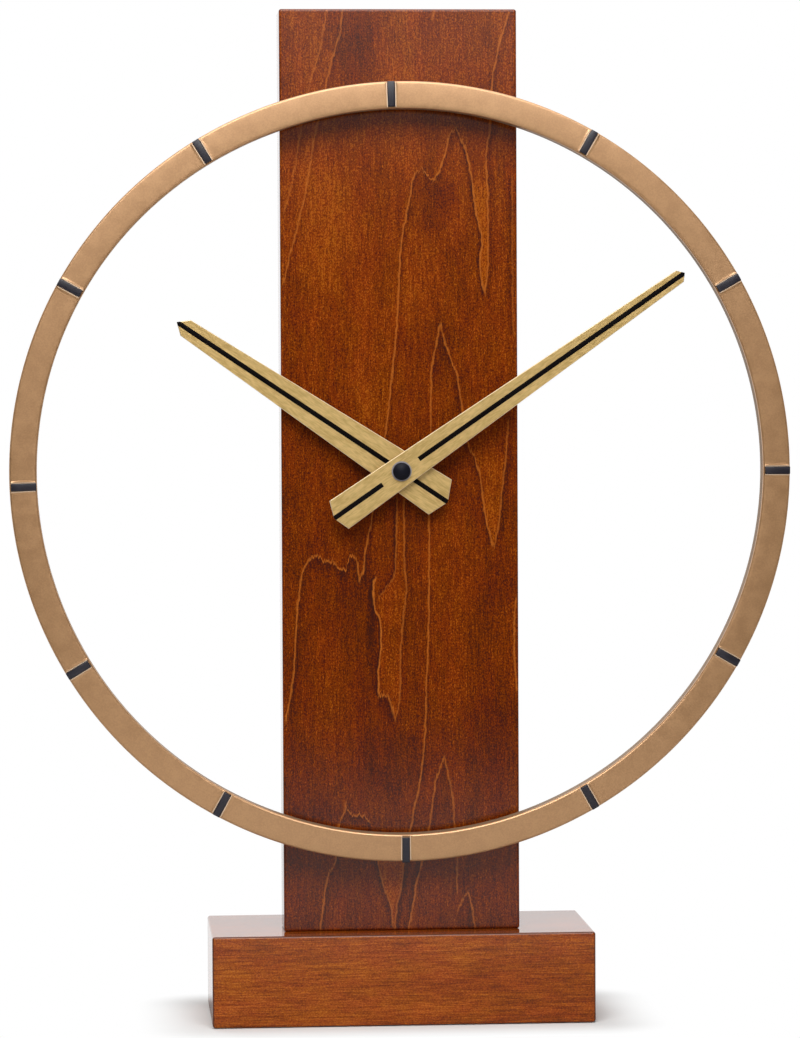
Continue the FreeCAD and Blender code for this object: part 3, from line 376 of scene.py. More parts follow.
def board_tone(tree):
    """The upright board, with its growth lines drawn one by one."""
    x, y, z = tree.place()
    fibre = fibres(tree, z, x, y)
    tone = plain_tone(tree, fibre, 0.43, {"streak": 0.9, "bands": 0.25, "patch": 0.6, "speck": 2.0})
    # painted light: the tone rises towards the top of the board, standing in for the stronger light there
    tone = tree.math("ADD", tone, tree.span(z, 120.0, 330.0, 0.0, 0.20))

    # fibres shift the growth lines up and down, so that they are ragged where they
    # cross the grain and clean where they follow it
    depth = tree.math("SUBTRACT", BOARD_TOP, z)
    teeth = tree.stretched((x, y, z), (0.9, 4.0, 30.0), 2.5, detail=3.0, roughness=0.65)
    wander = tree.stretched((x, y, z), (2.4, 4.0, 3.6), 8.5, detail=2.0)
    ragged = tree.math("ADD", depth, tree.math("MULTIPLY", tree.math("SUBTRACT", teeth, 0.5), 7.0))
    side = tree.math("ADD", x, tree.math("MULTIPLY", tree.math("SUBTRACT", wander, 0.5), 1.3))
    # down and right run from 0 to 1 over the board, as the curves need them
    tall = BOARD_TOP - BASE_TOP
    wide = 2 * BOARD_HALF
    down = tree.math("DIVIDE", ragged, tall)
    right = tree.math("DIVIDE", tree.math("ADD", side, BOARD_HALF), wide)

    light = 0.0
    shade = 0.0
    offsets = {}
    for name, (points, strength, shaded, darkness) in LINES.items():
        curve = tree.curve(down, [(at / tall, (across + BOARD_HALF) / wide) for at, across in points])
        offset = tree.math("MULTIPLY", tree.math("SUBTRACT", right, curve), wide)
        offsets[name] = offset
        start, end = points[0][0], points[-1][0]
        gate = tree.math("MULTIPLY", tree.span(ragged, start - 1.0, start + 0.5),
                         tree.span(ragged, end + 1.5, end - 0.5))
        line = tree.span(tree.math("ABSOLUTE", offset), LINE_WIDTH, 0.0, 0.0, strength)
        light = tree.math("MAXIMUM", light, tree.math("MULTIPLY", line, gate))
        if shaded:
            near = tree.math("MULTIPLY", offset, float(shaded))
            reach = NARROW_SHADE.get(name, SHADE_WIDTH)
            edge = tree.math("MULTIPLY", tree.span(near, 0.0, 0.5),
                             tree.span(near, reach, 0.3, 0.0, darkness))
            shade = tree.math("MAXIMUM", shade, tree.math("MULTIPLY", edge, gate))
    for points, strength, darkness in ARCHES:
        curve = tree.curve(right, [((across + BOARD_HALF) / wide, at / tall) for across, at in points])
        offset = tree.math("MULTIPLY", tree.math("SUBTRACT", down, curve), tall)
        start, end = points[0][0], points[-1][0]
        gate = tree.math("MULTIPLY", tree.span(side, start - 0.5, start + 0.3),
                         tree.span(side, end + 0.5, end - 0.3))
        line = tree.span(tree.math("ABSOLUTE", offset), 1.2 * LINE_WIDTH, 0.0, 0.0, strength)
        light = tree.math("MAXIMUM", light, tree.math("MULTIPLY", line, gate))
        edge = tree.math("MULTIPLY", tree.span(offset, 0.0, 0.6),
                         tree.span(offset, ARCH_SHADE_WIDTH, 0.3, 0.0, darkness))
        shade = tree.math("MAXIMUM", shade, tree.math("MULTIPLY", edge, gate))
    for left, right_line, start, end, paleness in FILLS:
        inside = tree.math("MINIMUM", offsets[left], tree.math("MULTIPLY", offsets[right_line], -1.0))
        gate = tree.math("MULTIPLY", tree.span(ragged, start - 2.0, start + 6.0),
                         tree.span(ragged, end + 1.0, end - 0.5))
        fill = tree.math("MULTIPLY", tree.span(inside, 0.0, 0.8, 0.0, paleness), gate)
        tone = tree.math("ADD", tone, tree.math("MULTIPLY", fill, 0.5))
    for at, below, half_wide, half_tall, amount in PATCHES:
        across = tree.math("DIVIDE", tree.math("SUBTRACT", side, at), half_wide)
        along = tree.math("DIVIDE", tree.math("SUBTRACT", ragged, below), half_tall)
        away = tree.math("ADD", tree.math("MULTIPLY", across, across),
                         tree.math("MULTIPLY", along, along))
        tone = tree.math("ADD", tone, tree.span(away, 1.4, 0.0, 0.0, amount))

    # the figure is on the front and the back; the narrow faces show plain grain
    front = tree.span(tree.math("ABSOLUTE", tree.split(tree.facing)[1]), 0.5, 0.8)
    light = tree.math("MULTIPLY", light, front)
    shade = tree.math("MULTIPLY", shade, front)
    tone = tree.math("SUBTRACT", tone, tree.math("MULTIPLY", shade, SHADE_DEPTH))
    pores = tree.math("MULTIPLY", tree.span(fibre["pore"], 0.60, 0.72), 0.5)
    light = tree.math("MULTIPLY", light, tree.span(fibre["speck"], 0.25, 0.6, 0.65, 1.0))
    return tone, light, pores, tree.math("ADD", fibre["pore"], fibre["streak"]), fibre["hue"]


def base_tone(tree):
    """The base block: level grain, a little darker to the right, with painted shade along its front edges."""
    x, y, z = tree.place()
    fibre = fibres(tree, x, z, y)
    line = tree.stretched((z, y, x), (0.36, 1.4, 30.0), 4.4, detail=3.0, roughness=0.65)
    tone = plain_tone(tree, fibre, 0.64, {"streak": 1.0, "bands": 0.3, "patch": 0.5, "speck": 1.4})
    tone = tree.math("ADD", tone, tree.math("MULTIPLY", tree.math("SUBTRACT", line, 0.5), 1.1))
    tone = tree.math("ADD", tone, tree.span(x, 5.0, 69.0, 0.02, -0.07))
    dark = tree.math("MULTIPLY", tree.span(fibre["pore"], 0.62, 0.74), 0.4)
    # painted shade: the ends and the top edge of the front face are painted dark, hiding the light their
    # rounding would catch
    ends = tree.span(tree.math("ABSOLUTE", x), BASE_HALF - 0.8, BASE_HALF - 0.2)
    edges = tree.math("MAXIMUM", ends, tree.span(z, BASE_TOP - 0.7, BASE_TOP - 0.15))
    edges = tree.math("MULTIPLY", edges, tree.span(y, BASE_FRONT + 0.9, BASE_FRONT + 0.4))
    dark = tree.math("MAXIMUM", dark, edges)
    return tone, 0.0, dark, tree.math("ADD", fibre["pore"], fibre["streak"]), fibre["hue"]


# ------------------------------------------------------------------ other materials
def speckled(name, low, high, pitch, roughness, metallic=0.0, bump=0.0, spread=0.06, **more):
    """A finish whose colour and gloss wander a little between two colours."""
    tree = Tree(name)
    place = tree.place()
    grain = tree.stretched(place, (pitch, pitch, pitch), 2.0, detail=3.0, roughness=0.7)
    cloud = tree.stretched(place, (pitch * 12,) * 3, 4.0, detail=2.0)
    factor = tree.math("ADD", tree.math("MULTIPLY", grain, 0.6), tree.math("MULTIPLY", cloud, 0.4))
    colour = tree.mix(tree.span(factor, 0.38, 0.62), low, high)
    gloss = tree.span(cloud, 0.3, 0.7, roughness - spread, roughness + spread)
    normal = tree.bump(grain, bump, pitch * 0.25) if bump else None
    return tree.surface(Base_Color=colour, Roughness=gloss, Metallic=metallic, Normal=normal, **more)


def brushed(name, low, high, angle, roughness, metallic):
    """Metal brushed along one direction of the dial, as fine lines in colour and gloss."""
    tree = Tree(name)
    x, y, z = tree.place()
    turn = math.radians(angle)
    height = tree.math("SUBTRACT", z, PIVOT)
    along = tree.math("ADD", tree.math("MULTIPLY", x, math.sin(turn)),
                      tree.math("MULTIPLY", height, math.cos(turn)))
    across = tree.math("SUBTRACT", tree.math("MULTIPLY", x, math.cos(turn)),
                       tree.math("MULTIPLY", height, math.sin(turn)))
    line = tree.stretched((across, y, along), (0.45, 1.0, 2.6), 1.0, detail=1.0, roughness=0.5)
    cloud = tree.stretched((across, y, along), (1.6, 3.0, 5.0), 6.0, detail=2.0, roughness=0.6)
    factor = tree.math("ADD", tree.math("MULTIPLY", line, 0.5), tree.math("MULTIPLY", cloud, 0.5))
    colour = tree.mix(tree.span(factor, 0.32, 0.68), low, high)
    # painted highlight: paler where the edges turn away from front and back, as if they caught the light
    edge = tree.span(tree.math("ABSOLUTE", tree.split(tree.facing)[1]), 0.97, 0.85)
    colour = tree.mix(tree.math("MULTIPLY", edge, 0.75), colour, (0.95, 0.78, 0.52))
    gloss = tree.span(line, 0.3, 0.7, roughness - 0.04, roughness + 0.04)
    return tree.surface(Base_Color=colour, Roughness=gloss, Metallic=metallic)


def cap_finish():
    """The cap nut: flat black, with a thin bare rim."""
    tree = Tree("cap_black")
    x, y, z = tree.place()
    height = tree.math("SUBTRACT", z, PIVOT)
    radius = tree.math("SQRT", tree.math("ADD", tree.math("MULTIPLY", x, x),
                                         tree.math("MULTIPLY", height, height)))
    grain = tree.stretched((x, y, z), (0.5, 0.5, 0.5), 2.0)
    black = tree.mix(grain, (0.005, 0.005, 0.009), (0.008, 0.008, 0.014))
    colour = tree.mix(tree.span(radius, 3.05, 3.30), black, (0.30, 0.28, 0.30))
    return tree.surface(Base_Color=colour, Roughness=0.5, Specular_IOR_Level=0.12)


def ring_finish():
    """Champagne metal paint, finely speckled, with painted shade on the walls and a painted highlight on the
    thin rims beside the bars.
    """
    tree = Tree("ring_metal")
    place = tree.place()
    grain = tree.stretched(place, (0.6, 0.6, 0.6), 2.0, detail=2.0, roughness=0.6)
    cloud = tree.stretched(place, (5.0, 5.0, 5.0), 4.0, detail=2.0)
    factor = tree.math("ADD", tree.math("MULTIPLY", grain, 0.6), tree.math("MULTIPLY", cloud, 0.4))
    colour = tree.mix(tree.span(factor, 0.34, 0.66), (0.482, 0.259, 0.116), (0.562, 0.312, 0.144))
    # painted shade: the walls behind the face are painted darker, as if in shadow; they are also rougher
    wall = tree.math("MULTIPLY", tree.span(place[1], RING_FRONT + 1.2, RING_FRONT + 1.9),
                     tree.span(tree.split(tree.facing)[1], 0.6, 0.3))
    colour = tree.mix(wall, colour, (0.270, 0.170, 0.095))
    # painted highlight: the thin rims beside the bars are painted paler, as if their edges caught the light
    rim_highlight_node = tree.nodes.new("ShaderNodeAttribute")
    rim_highlight_node.attribute_name = "rim_highlight"
    colour = tree.mix(tree.math("MULTIPLY", rim_highlight_node.outputs["Fac"], 0.8), colour, (0.86, 0.68, 0.50))
    gloss = tree.math("ADD", tree.span(cloud, 0.3, 0.7, 0.30, 0.37), tree.math("MULTIPLY", wall, 0.3))
    relief = tree.bump(grain, 0.04, 0.08)
    return tree.surface(Base_Color=colour, Roughness=gloss, Metallic=0.5, IOR=1.8, Normal=relief)


HAND_BRASS = ((0.52, 0.345, 0.115), (0.72, 0.50, 0.20))
materials = {
    "board": stained_wood("stained_board", board_tone, BOARD_STAIN, BOARD_LINE),
    "base": stained_wood("stained_base", base_tone, BASE_STAIN, BASE_LINE),
    "ring_metal": ring_finish(),
    "hour_metal": brushed("hour_hand_brass", *HAND_BRASS, HANDS["hour"][0], 0.48, 0.6),
    "minute_metal": brushed("minute_hand_brass", *HAND_BRASS, HANDS["minute"][0], 0.48, 0.6),
    "stripe": speckled("stripe_enamel", (0.0035, 0.0025, 0.0025), (0.0055, 0.0040, 0.0040), 1.5, 0.6,
                       Specular_IOR_Level=0.04),
    "cap_black": cap_finish(),
    "black_enamel": speckled("black_enamel", (0.014, 0.012, 0.018), (0.022, 0.019, 0.028), 0.4, 0.38,
                             bump=0.10, Specular_IOR_Level=0.50),
    "black_metal": speckled("black_metal", (0.010, 0.010, 0.016), (0.018, 0.018, 0.026), 0.3, 0.34, 0.3, 0.1),
    "steel": speckled("steel", (0.36, 0.36, 0.37), (0.48, 0.48, 0.49), 0.5, 0.34, 1.0, 0.08),
    "brass": speckled("brass", (0.58, 0.38, 0.14), (0.70, 0.48, 0.20), 0.5, 0.30, 1.0, 0.08),
    "rubber": speckled("rubber", (0.012, 0.012, 0.012), (0.022, 0.022, 0.022), 0.5, 0.75, bump=0.2),
    "felt": speckled("felt", (0.010, 0.011, 0.011), (0.030, 0.031, 0.032), 0.35, 0.95, bump=0.8),
    "movement_plastic": speckled("movement_plastic", (0.010, 0.010, 0.011), (0.018, 0.018, 0.019), 0.25, 0.46,
                                 bump=0.25),
    "wheel_plastic": speckled("wheel_plastic", (0.62, 0.60, 0.54), (0.72, 0.70, 0.64), 0.6, 0.38, bump=0.1),
    "knob_plastic": speckled("knob_plastic", (0.10, 0.10, 0.105), (0.14, 0.14, 0.145), 0.3, 0.42, bump=0.2),
    "magnet": speckled("magnet", (0.06, 0.06, 0.065), (0.10, 0.10, 0.105), 0.4, 0.4, 0.5, 0.2),
    "soft_iron": speckled("soft_iron", (0.30, 0.30, 0.31), (0.42, 0.42, 0.43), 0.5, 0.38, 1.0, 0.15),
    "copper": speckled("copper", (0.40, 0.12, 0.05), (0.62, 0.22, 0.10), 0.2, 0.35, 0.9, 0.3),
    "board_laminate": speckled("board_laminate", (0.02, 0.09, 0.03), (0.03, 0.13, 0.04), 0.6, 0.4, bump=0.1),
    "black_resin": speckled("black_resin", (0.010, 0.010, 0.010), (0.020, 0.020, 0.020), 0.4, 0.5, bump=0.2),
    "cell_sleeve": speckled("cell_sleeve", (0.02, 0.05, 0.16), (0.03, 0.07, 0.20), 0.8, 0.3, bump=0.03),
    "beech": speckled("beech", (0.50, 0.33, 0.18), (0.62, 0.44, 0.26), 0.7, 0.6, bump=0.2),
}
# nodes whose material isn't simply the one of their slot
special = {"upright_board": "board", "base_block": "base", "hour_hand": "hour_metal",
           "minute_hand": "minute_metal", "hand_cap_nut": "cap_black"}
for name, node in nodes.items():
    slot = node.material_slots[0].material.name.split(".")[0]
    node.material_slots[0].material = materials[special.get(name, slot)]


# -------------------------------------------------------------------------- meshes
def finish_mesh(name, mesh_data, body, stands_for, material):
    """Turns a bmesh in millimetres into a piece that rides on a body."""
    bmesh.ops.remove_doubles(mesh_data, verts=mesh_data.verts, dist=1e-5)
    bmesh.ops.recalc_face_normals(mesh_data, faces=mesh_data.faces)
    bmesh.ops.scale(mesh_data, vec=(MM, MM, MM), verts=mesh_data.verts)
    limit = math.radians(SMOOTH_ANGLE)
    for face in mesh_data.faces:
        face.smooth = True
    for edge in mesh_data.edges:
        if edge.is_manifold and edge.calc_face_angle(0.0) > limit:
            edge.smooth = False
    mesh = bpy.data.meshes.new(name)
    mesh_data.to_mesh(mesh)
    mesh_data.free()
    mesh.materials.append(material)
    piece = bpy.data.objects.new(name, mesh)
    bpy.context.scene.collection.objects.link(piece)
    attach(piece, body)
    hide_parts(*stands_for)
    return piece


def arc(centre, radius, start, end, steps):
    """Points of an arc in the (radius, y) plane; angles in degrees from outward, towards the front."""
    angles = [math.radians(start + (end - start) * k / steps) for k in range(steps + 1)]
    return [(centre[0] + radius * math.cos(a), centre[1] - radius * math.sin(a)) for a in angles]


def dial_point(angle, radius, y, about=(0.0, PIVOT)):
    """A point at a clock angle, in degrees from twelve o'clock, and a radius."""
    turn = math.radians(angle)
    return Vector((about[0] + radius * math.sin(turn), y, about[1] + radius * math.cos(turn)))


def lathe(mesh_data, profile, segments, about):
    """Turns a closed profile of (radius, y) about an axis along Y."""
    rings = [[mesh_data.verts.new(dial_point(360.0 * k / segments, radius, y, about))
              for radius, y in profile] for k in range(segments)]
    join(mesh_data, rings)


def join(mesh_data, rings):
    """Faces between neighbouring copies of a closed profile, the last one meeting the first."""
    for k, ring in enumerate(rings):
        other = rings[(k + 1) % len(rings)]
        count = len(ring)
        for j in range(count):
            corners = [ring[j], ring[(j + 1) % count], other[(j + 1) % count], other[j]]
            mesh_data.faces.new(corners)


def block(mesh_data, half_width, radii, y, angle, bevel, steps=2, lean=0.0):
    """A bevelled radial bar; half_width across, radii from the axis, y from front to back.

    The outer end lies further back than the inner one by lean."""
    made = bmesh.ops.create_cube(mesh_data, size=1.0)["verts"]
    for vert in made:
        across = vert.co.x * 2 * half_width
        radius = (radii[0] + radii[1]) / 2 + vert.co.z * (radii[1] - radii[0])
        depth = (y[0] + y[1]) / 2 + vert.co.y * (y[1] - y[0]) + lean * (vert.co.z + 0.5)
        turn = math.radians(angle)
        vert.co = Vector((across * math.cos(turn) + radius * math.sin(turn), depth,
                          PIVOT - across * math.sin(turn) + radius * math.cos(turn)))
    edges = list({edge for vert in made for edge in vert.link_edges})
    mesh_data.normal_update()
    bmesh.ops.bevel(mesh_data, geom=edges, offset=bevel, segments=steps, profile=0.5, affect="EDGES")


def soft_step(value, low, high):
    share = min(1.0, max(0.0, (value - low) / (high - low)))
    return share * share * (3 - 2 * share)


def marker_angles():
    """Where the twelve bars are, in degrees from twelve o'clock."""
    return [30.0 * hour + slip + RING_TWIST for hour, slip in enumerate(MARKER_SLIP)]


def face_depth(across):
    """How far the face falls back from its inner edge; across runs from -1 inside to 1 outside."""
    return RING_CROWN * (across + RING_LEAN) ** 2


def ring_section():
    """(radius, y, how far it rises to a saddle) round the section, from the outer back edge."""
    middle = (RING_OUTER + RING_INNER) / 2
    half = (RING_OUTER - RING_INNER) / 2 - RING_LIP
    edge = 0.25
    section = [(RING_OUTER - edge, RING_BACK, 0.0), (RING_OUTER, RING_BACK - edge, 0.0),
               (RING_OUTER, RING_BACK - 3.0, 0.0)]
    outer_lip, inner_lip = (RING_FRONT + face_depth(side) + RING_LIP for side in (1.0, -1.0))
    for radius, y in arc((RING_OUTER - RING_LIP, outer_lip), RING_LIP, 0.0, 90.0, 6):
        section.append((radius, y, 1.0 if radius < RING_OUTER - RING_LIP / 2 else 0.0))
    steps = 12
    for k in range(1, steps):
        across = 1 - 2 * k / steps
        section.append((middle + half * across, RING_FRONT + face_depth(across), 1.0))
    for radius, y in arc((RING_INNER + RING_LIP, inner_lip), RING_LIP, 90.0, 180.0, 6):
        section.append((radius, y, 1.0 if radius > RING_INNER + RING_LIP * 0.6 else 0.0))
    section += [(RING_INNER, RING_BACK - 3.0, 0.0), (RING_INNER, RING_BACK - edge, 0.0),
                (RING_INNER + edge, RING_BACK, 0.0)]
    for radius, side in ((RING_INNER + RING_WALL, 1), (RING_OUTER - RING_WALL, -1)):
        wall = [(radius - side * edge, RING_BACK, 0.0), (radius, RING_BACK - edge, 0.0),
                (radius, RING_FLOOR + 2 * edge, 0.0), (radius + side * 2 * edge, RING_FLOOR, 0.0)]
        section += wall if side > 0 else wall[::-1]
    return section


def ring_dent(angle):
    """The real ring is a little out of round: how far its upper left is pressed in, in millimetres."""
    depth, centre, width = RING_DENT
    off = (angle - centre + 180.0) % 360.0 - 180.0
    return depth * math.exp(-(off / width) ** 2)


def saddle(off_marker, radius, y):
    """The face beside a bar: a seat round the bar, a thin rim, and a flank that is widest half way along."""
    low, high = SADDLE_RIM
    if off_marker < low:
        return SEAT_FLOOR
    rim = SADDLE_FRONT + SEAT_LEAN * (radius - RING_INNER) / (RING_OUTER - RING_INNER)
    if off_marker <= high:
        return rim
    across = (2 * radius - RING_OUTER - RING_INNER) / (RING_OUTER - RING_INNER)
    narrow, more = FLANK_WIDTH
    share = soft_step(off_marker, high, high + narrow + more * (1 - across ** 2))
    return rim + (y - rim) * share


def make_ring():
    """The ring, its face raised into a saddle under each bar, with ribs and bosses behind."""
    section = ring_section()
    low, high = SADDLE_RIM
    half_near = [0.0, 1.0, low - 0.04, low, low + 0.07, high - 0.07, high, high + 0.07, 1.95, 2.1, 2.25, 2.4,
                 2.55, 2.7, 2.85, 3.1, 3.4]
    near = [-step for step in half_near[:0:-1]] + half_near
    middle = (RING_OUTER + RING_INNER) / 2
    markers = marker_angles()
    stations = []
    for hour, angle in enumerate(markers):
        after = markers[(hour + 1) % len(markers)] + (360.0 if hour == len(markers) - 1 else 0.0)
        stations += [(angle + math.degrees(step / middle), abs(step)) for step in near]
        reach = math.degrees(near[-1] / middle)
        gaps = 24
        stations += [(angle + reach + (after - angle - 2 * reach) * k / gaps, near[-1])
                     for k in range(1, gaps)]
    mesh_data = bmesh.new()
    # painted highlight: a mask on the thin rims beside each bar, which the ring's paint turns paler
    rim_highlight = mesh_data.verts.layers.float.new("rim_highlight")
    rings = []
    # each station: its angle, and how far it is from the middle of the nearest bar, in millimetres
    for angle, off_marker in stations:
        dent = ring_dent(angle)
        ring = []
        for radius, y, rise in section:
            lifted = y + (saddle(off_marker, radius, y) - y) * rise
            vert = mesh_data.verts.new(dial_point(angle, radius + dent, lifted))
            vert[rim_highlight] = rise if low < off_marker < high else 0.0
            ring.append(vert)
        rings.append(ring)
    join(mesh_data, rings)
    sunk = 0.4
    overlap = 0.3
    for hour in range(12):
        angle = 30.0 * (hour + 0.5) + RING_TWIST
        dent = ring_dent(angle)
        inside = (RING_INNER + RING_WALL - overlap + dent, RING_OUTER - RING_WALL + overlap + dent)
        block(mesh_data, RIB_HALF, inside, (RING_FLOOR - sunk, RING_BACK - 0.05), angle, 0.12)
    edge = 0.2
    for angle in BOSS_ANGLES:
        centre = dial_point(angle + RING_TWIST, middle + ring_dent(angle + RING_TWIST), 0.0)
        profile = [(BOSS_BORE, RING_FLOOR - sunk), (BOSS_RADIUS, RING_FLOOR - sunk),
                   (BOSS_RADIUS, RING_BACK - edge), (BOSS_RADIUS - edge, RING_BACK),
                   (BOSS_BORE, RING_BACK)]
        lathe(mesh_data, profile, 40, (centre.x, centre.z))
    return finish_mesh("dial_ring_casting", mesh_data, "clock_body", ["dial_ring"],
                       materials["ring_metal"])


def make_markers():
    """Twelve enamelled bars with softened edges, bedded in the saddles."""
    mesh_data = bmesh.new()
    for hour, angle in enumerate(marker_angles()):
        shift = ring_dent(angle) - MARKER_SINK.get(hour, 0.0)
        block(mesh_data, MARKER_HALF, (RING_INNER + MARKER_INSET + shift, RING_OUTER + shift),
              (MARKER_FRONT, MARKER_FRONT + MARKER_DEPTH), angle, MARKER_BEVEL, 3, SEAT_LEAN)
    return finish_mesh("enamel_bars", mesh_data, "clock_body", ["hour_marker_bars"],
                       materials["black_enamel"])


def make_stripes(hand):
    """The black stripe laid along a hand, ahead of the axis and behind it, out to the hand's points."""
    angle, front, ends = HANDS[hand]
    turn = math.radians(angle)
    mesh_data = bmesh.new()
    for side, (point, shoulder, start, width) in zip((1, -1), ends):
        corner = point - (point - shoulder) * STRIPE_HALF / (width / 2)
        outline = [(-STRIPE_HALF, start), (STRIPE_HALF, start), (STRIPE_HALF, corner), (0.0, point),
                   (-STRIPE_HALF, corner)]
        rings = []
        for inset, y in ((0.06, front - 0.05), (0.0, front - 0.02), (0.0, front + 0.15)):
            ring = []
            for across, along in outline:
                across *= 1 - inset / STRIPE_HALF
                along = side * (along + (inset if along == start else -inset))
                ring.append(mesh_data.verts.new((across * math.cos(turn) + along * math.sin(turn), y,
                                                 PIVOT - across * math.sin(turn) + along * math.cos(turn))))
            rings.append(ring)
        for high, low in zip(rings, rings[1:]):
            for k in range(len(outline)):
                other = (k + 1) % len(outline)
                mesh_data.faces.new([high[k], high[other], low[other], low[k]])
        mesh_data.faces.new(rings[0])
        mesh_data.faces.new(rings[-1][::-1])
    return finish_mesh(f"{hand}_stripe_enamel", mesh_data, f"{hand}_hand_group", [f"{hand}_hand_stripe"],
                       materials["stripe"])


def make_felt():
    """A cut sheet of felt with a slightly uneven, rounded edge."""
    mesh_data = bmesh.new()
    half_x, half_y = FELT_HALF
    corner = 1.5
    outline = []
    for sign_x, sign_y, start in ((1, 1, 0), (-1, 1, 90), (-1, -1, 180), (1, -1, 270)):
        for k in range(5):
            turn = math.radians(start + 22.5 * k)
            outline.append(((half_x - corner) * sign_x + corner * math.cos(turn),
                            (half_y - corner) * sign_y + corner * math.sin(turn)))
    full = []
    for (x0, y0), (x1, y1) in zip(outline, outline[1:] + outline[:1]):
        steps = max(1, round(math.hypot(x1 - x0, y1 - y0) / 2.0))
        full += [(x0 + (x1 - x0) * k / steps, y0 + (y1 - y0) * k / steps) for k in range(steps)]
    levels = [(0.30, 0.0), (0.08, 0.15), (0.0, 0.5), (0.05, 0.95), (0.25, FELT_TOP)]
    rings = []
    for inset, height in levels:
        ring = []
        for k, (x, y) in enumerate(full):
            uneven = 0.10 + 0.10 * math.sin(1.7 * k) * math.sin(0.37 * k + 1.0)
            share = 1.0 - (inset + uneven) / half_y
            ring.append(mesh_data.verts.new((x - math.copysign(inset + uneven, x), y * share, height)))
        rings.append(ring)
    count = len(full)
    for low, high in zip(rings, rings[1:]):
        for k in range(count):
            mesh_data.faces.new([low[k], low[(k + 1) % count], high[(k + 1) % count], high[k]])
    mesh_data.faces.new(rings[0][::-1])
    mesh_data.faces.new(rings[-1])
    felt = finish_mesh("felt_sheet", mesh_data, "clock_body", ["base_felt_pad"], materials["felt"])
    return felt


make_ring()
make_markers()
make_stripes("hour")
make_stripes("minute")
make_felt()


# --------------------------------------------------------------------------- stage
def make_floor():
    """A pale floor that keeps the shadow near the clock and is plain white where seen further off.

    In reflections it is dimmer close to the clock and far to the sides, and ends further out."""
    mesh = bpy.data.meshes.new("floor")
    reach = 3.0
    mesh.from_pydata([(-reach, -reach, 0), (reach, -reach, 0), (reach, reach, 0), (-reach, reach, 0)],
                     [], [(0, 1, 2, 3)])
    floor = bpy.data.objects.new("floor", mesh)
    bpy.context.scene.collection.objects.link(floor)
    tree = Tree("pale_floor")
    x, y, z = tree.place()
    beside = [tree.math("MAXIMUM", tree.math("SUBTRACT", tree.math("ABSOLUTE", value), half), 0.0)
              for value, half in ((x, BASE_HALF), (y, -BASE_FRONT))]
    distance = tree.math("SQRT", tree.math("ADD", tree.math("MULTIPLY", beside[0], beside[0]),
                                           tree.math("MULTIPLY", beside[1], beside[1])))
    paper = tree.stretched((x, y, z), (30.0, 30.0, 30.0), 0.0)
    shade = tree.mix(paper, (0.84, 0.84, 0.83), (0.88, 0.88, 0.87))
    path = tree.nodes.new("ShaderNodeLightPath")
    mirrored = tree.math("MAXIMUM", path.outputs["Is Glossy Ray"], path.outputs["Is Transmission Ray"])
    dim = tree.math("MAXIMUM", tree.span(distance, 90.0, 280.0, 0.52, 0.0),
                    tree.span(tree.math("ABSOLUTE", x), 90.0, 320.0, 0.0, 0.75))
    dim = tree.math("MULTIPLY", mirrored, dim)
    diffuse = tree.nodes.new("ShaderNodeBsdfDiffuse")
    tree.put(diffuse.inputs["Color"], tree.mix(dim, shade, (0.0, 0.0, 0.0)))
    white = tree.nodes.new("ShaderNodeEmission")
    clear = tree.nodes.new("ShaderNodeBsdfTransparent")
    behind = tree.math("MULTIPLY", mirrored, tree.span(y, BASE_FRONT, 0.0))
    seen = tree.math("MAXIMUM", path.outputs["Is Camera Ray"], behind)
    lit = tree.nodes.new("ShaderNodeMixShader")
    tree.put(lit.inputs[0], tree.math("MULTIPLY", seen, tree.span(distance, -2.0, 28.0)))
    tree.links.new(diffuse.outputs[0], lit.inputs[1])
    tree.links.new(white.outputs[0], lit.inputs[2])
    blend = tree.nodes.new("ShaderNodeMixShader")
    faded = tree.math("MULTIPLY", tree.math("SUBTRACT", 1.0, mirrored), tree.span(distance, 150.0, 600.0))
    faded = tree.math("MAXIMUM", faded, tree.span(distance, 420.0, 1300.0))
    tree.put(blend.inputs[0], faded)
    tree.links.new(lit.outputs[0], blend.inputs[1])
    tree.links.new(clear.outputs[0], blend.inputs[2])
    tree.links.new(blend.outputs[0], tree.output.inputs["Surface"])
    mesh.materials.append(tree.material)
    return floor


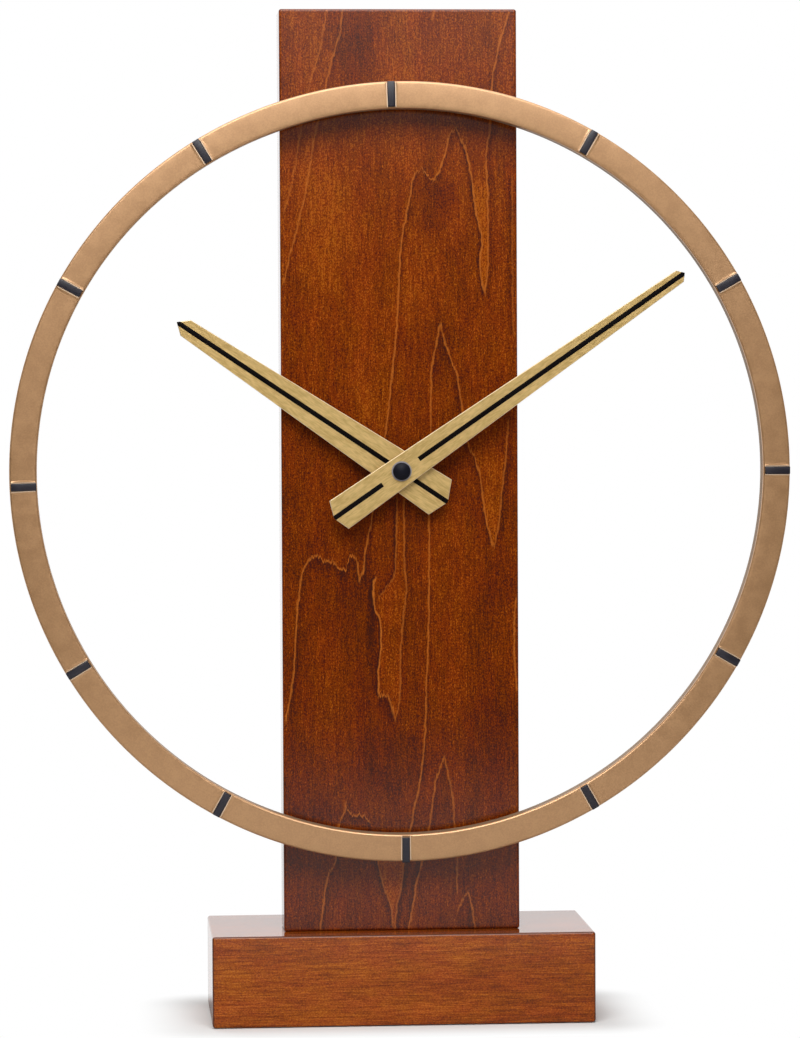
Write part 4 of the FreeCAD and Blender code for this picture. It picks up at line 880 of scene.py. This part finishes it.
def make_world():
    """White behind the clock; in front a dim room with a bright panel above eye level.

    Only reflections see the room. Other rays get an even fill, and the camera plain white."""
    world = bpy.data.worlds.new("studio")
    bpy.context.scene.world = world
    world.use_nodes = True
    tree = world.node_tree
    tree.nodes.clear()
    add = tree.nodes.new
    link = tree.links.new
    output = add("ShaderNodeOutputWorld")
    background = add("ShaderNodeBackground")
    path = add("ShaderNodeLightPath")
    geometry = add("ShaderNodeTexCoord")
    parts = add("ShaderNodeSeparateXYZ")
    link(geometry.outputs["Generated"], parts.inputs[0])

    def step(value, low, high, to_low, to_high):
        node = add("ShaderNodeMapRange")
        node.interpolation_type = "SMOOTHSTEP"
        link(value, node.inputs[0])
        for socket, item in zip(list(node.inputs)[1:5], (low, high, to_low, to_high)):
            socket.default_value = item
        return node.outputs[0]

    def math_node(operation, first, second):
        node = add("ShaderNodeMath")
        node.operation = operation
        for socket, value in zip(node.inputs, (first, second)):
            if isinstance(value, bpy.types.NodeSocket):
                link(value, socket)
            else:
                socket.default_value = value
        return node.outputs[0]

    up = parts.outputs[2]
    behind = step(parts.outputs[1], 0.10, 0.50, 0.0, 1.0)
    beside = step(math_node("ABSOLUTE", parts.outputs[0], 0.0), 0.15, 0.45, 1.0, 0.15)
    panel = math_node("MULTIPLY", step(up, 0.036, 0.088, 0.03, 1.5), step(up, 0.12, 0.24, 1.0, 0.2))
    panel = math_node("ADD", math_node("MULTIPLY", panel, beside), step(up, 0.65, 0.90, 0.0, 2.6))
    front = math_node("MULTIPLY", panel, math_node("SUBTRACT", 1.0, behind))
    backdrop = 1.17
    studio = math_node("ADD", front, math_node("MULTIPLY", behind, backdrop))
    glossy = math_node("MAXIMUM", path.outputs["Is Glossy Ray"], path.outputs["Is Transmission Ray"])
    fill = 0.17
    level = math_node("ADD", math_node("MULTIPLY", glossy, studio),
                      math_node("MULTIPLY", math_node("SUBTRACT", 1.0, glossy), fill))
    level = math_node("MAXIMUM", level, path.outputs["Is Camera Ray"])
    background.inputs["Color"].default_value = (1, 1, 1, 1)
    link(level, background.inputs["Strength"])
    link(background.outputs[0], output.inputs[0])


def make_lamp(name, place, target, size, power, mirrored=False):
    """A soft panel, in metres and watts; mirrored says whether reflections show it."""
    data = bpy.data.lights.new(name, "AREA")
    data.shape = "RECTANGLE"
    data.size = size[0]
    data.size_y = size[1]
    data.energy = power
    lamp = bpy.data.objects.new(name, data)
    bpy.context.scene.collection.objects.link(lamp)
    lamp.location = place
    lamp.rotation_euler = (Vector(target) - Vector(place)).to_track_quat("-Z", "Y").to_euler()
    lamp.visible_glossy = mirrored


def make_camera():
    """The photograph's view: long lens, a little to the left and slightly above the middle."""
    yaw, pitch, roll = (math.radians(angle) for angle in CAMERA_ANGLES)
    forward = Vector((math.sin(yaw) * math.cos(pitch), math.cos(yaw) * math.cos(pitch), math.sin(pitch)))
    right = Vector((math.cos(yaw), -math.sin(yaw), 0))
    up = right.cross(forward)
    across = math.cos(roll) * right + math.sin(roll) * up
    high = -math.sin(roll) * right + math.cos(roll) * up
    data = bpy.data.cameras.new("camera")
    data.sensor_fit = "HORIZONTAL"
    data.sensor_width = SENSOR_WIDTH
    data.lens = CAMERA_LENS
    data.clip_start = 0.05
    data.clip_end = 50.0
    camera = bpy.data.objects.new("camera", data)
    bpy.context.scene.collection.objects.link(camera)
    rotation = Matrix((across, high, -forward)).transposed()
    camera.matrix_world = Matrix.Translation(CAMERA_PLACE) @ rotation.to_4x4()
    bpy.context.scene.camera = camera


make_camera()
make_world()
make_floor()
make_lamp("key_panel", (-0.1, -0.80, 0.92), (0, 0, 0.28), (1.0, 0.6), 11.3, mirrored=True)
make_lamp("fill_panel", (1.5, -1.2, 0.9), (0, 0, 0.2), (1.0, 1.0), 3.5)
make_lamp("top_panel", (0.0, 0.2, 1.9), (0, 0, 0.1), (1.4, 1.4), 4.2)
make_lamp("back_panel", (-0.7, 1.5, 1.0), (0, 0, 0.2), (1.0, 1.0), 9.0)

bpy.context.scene.view_settings.view_transform = "Standard"
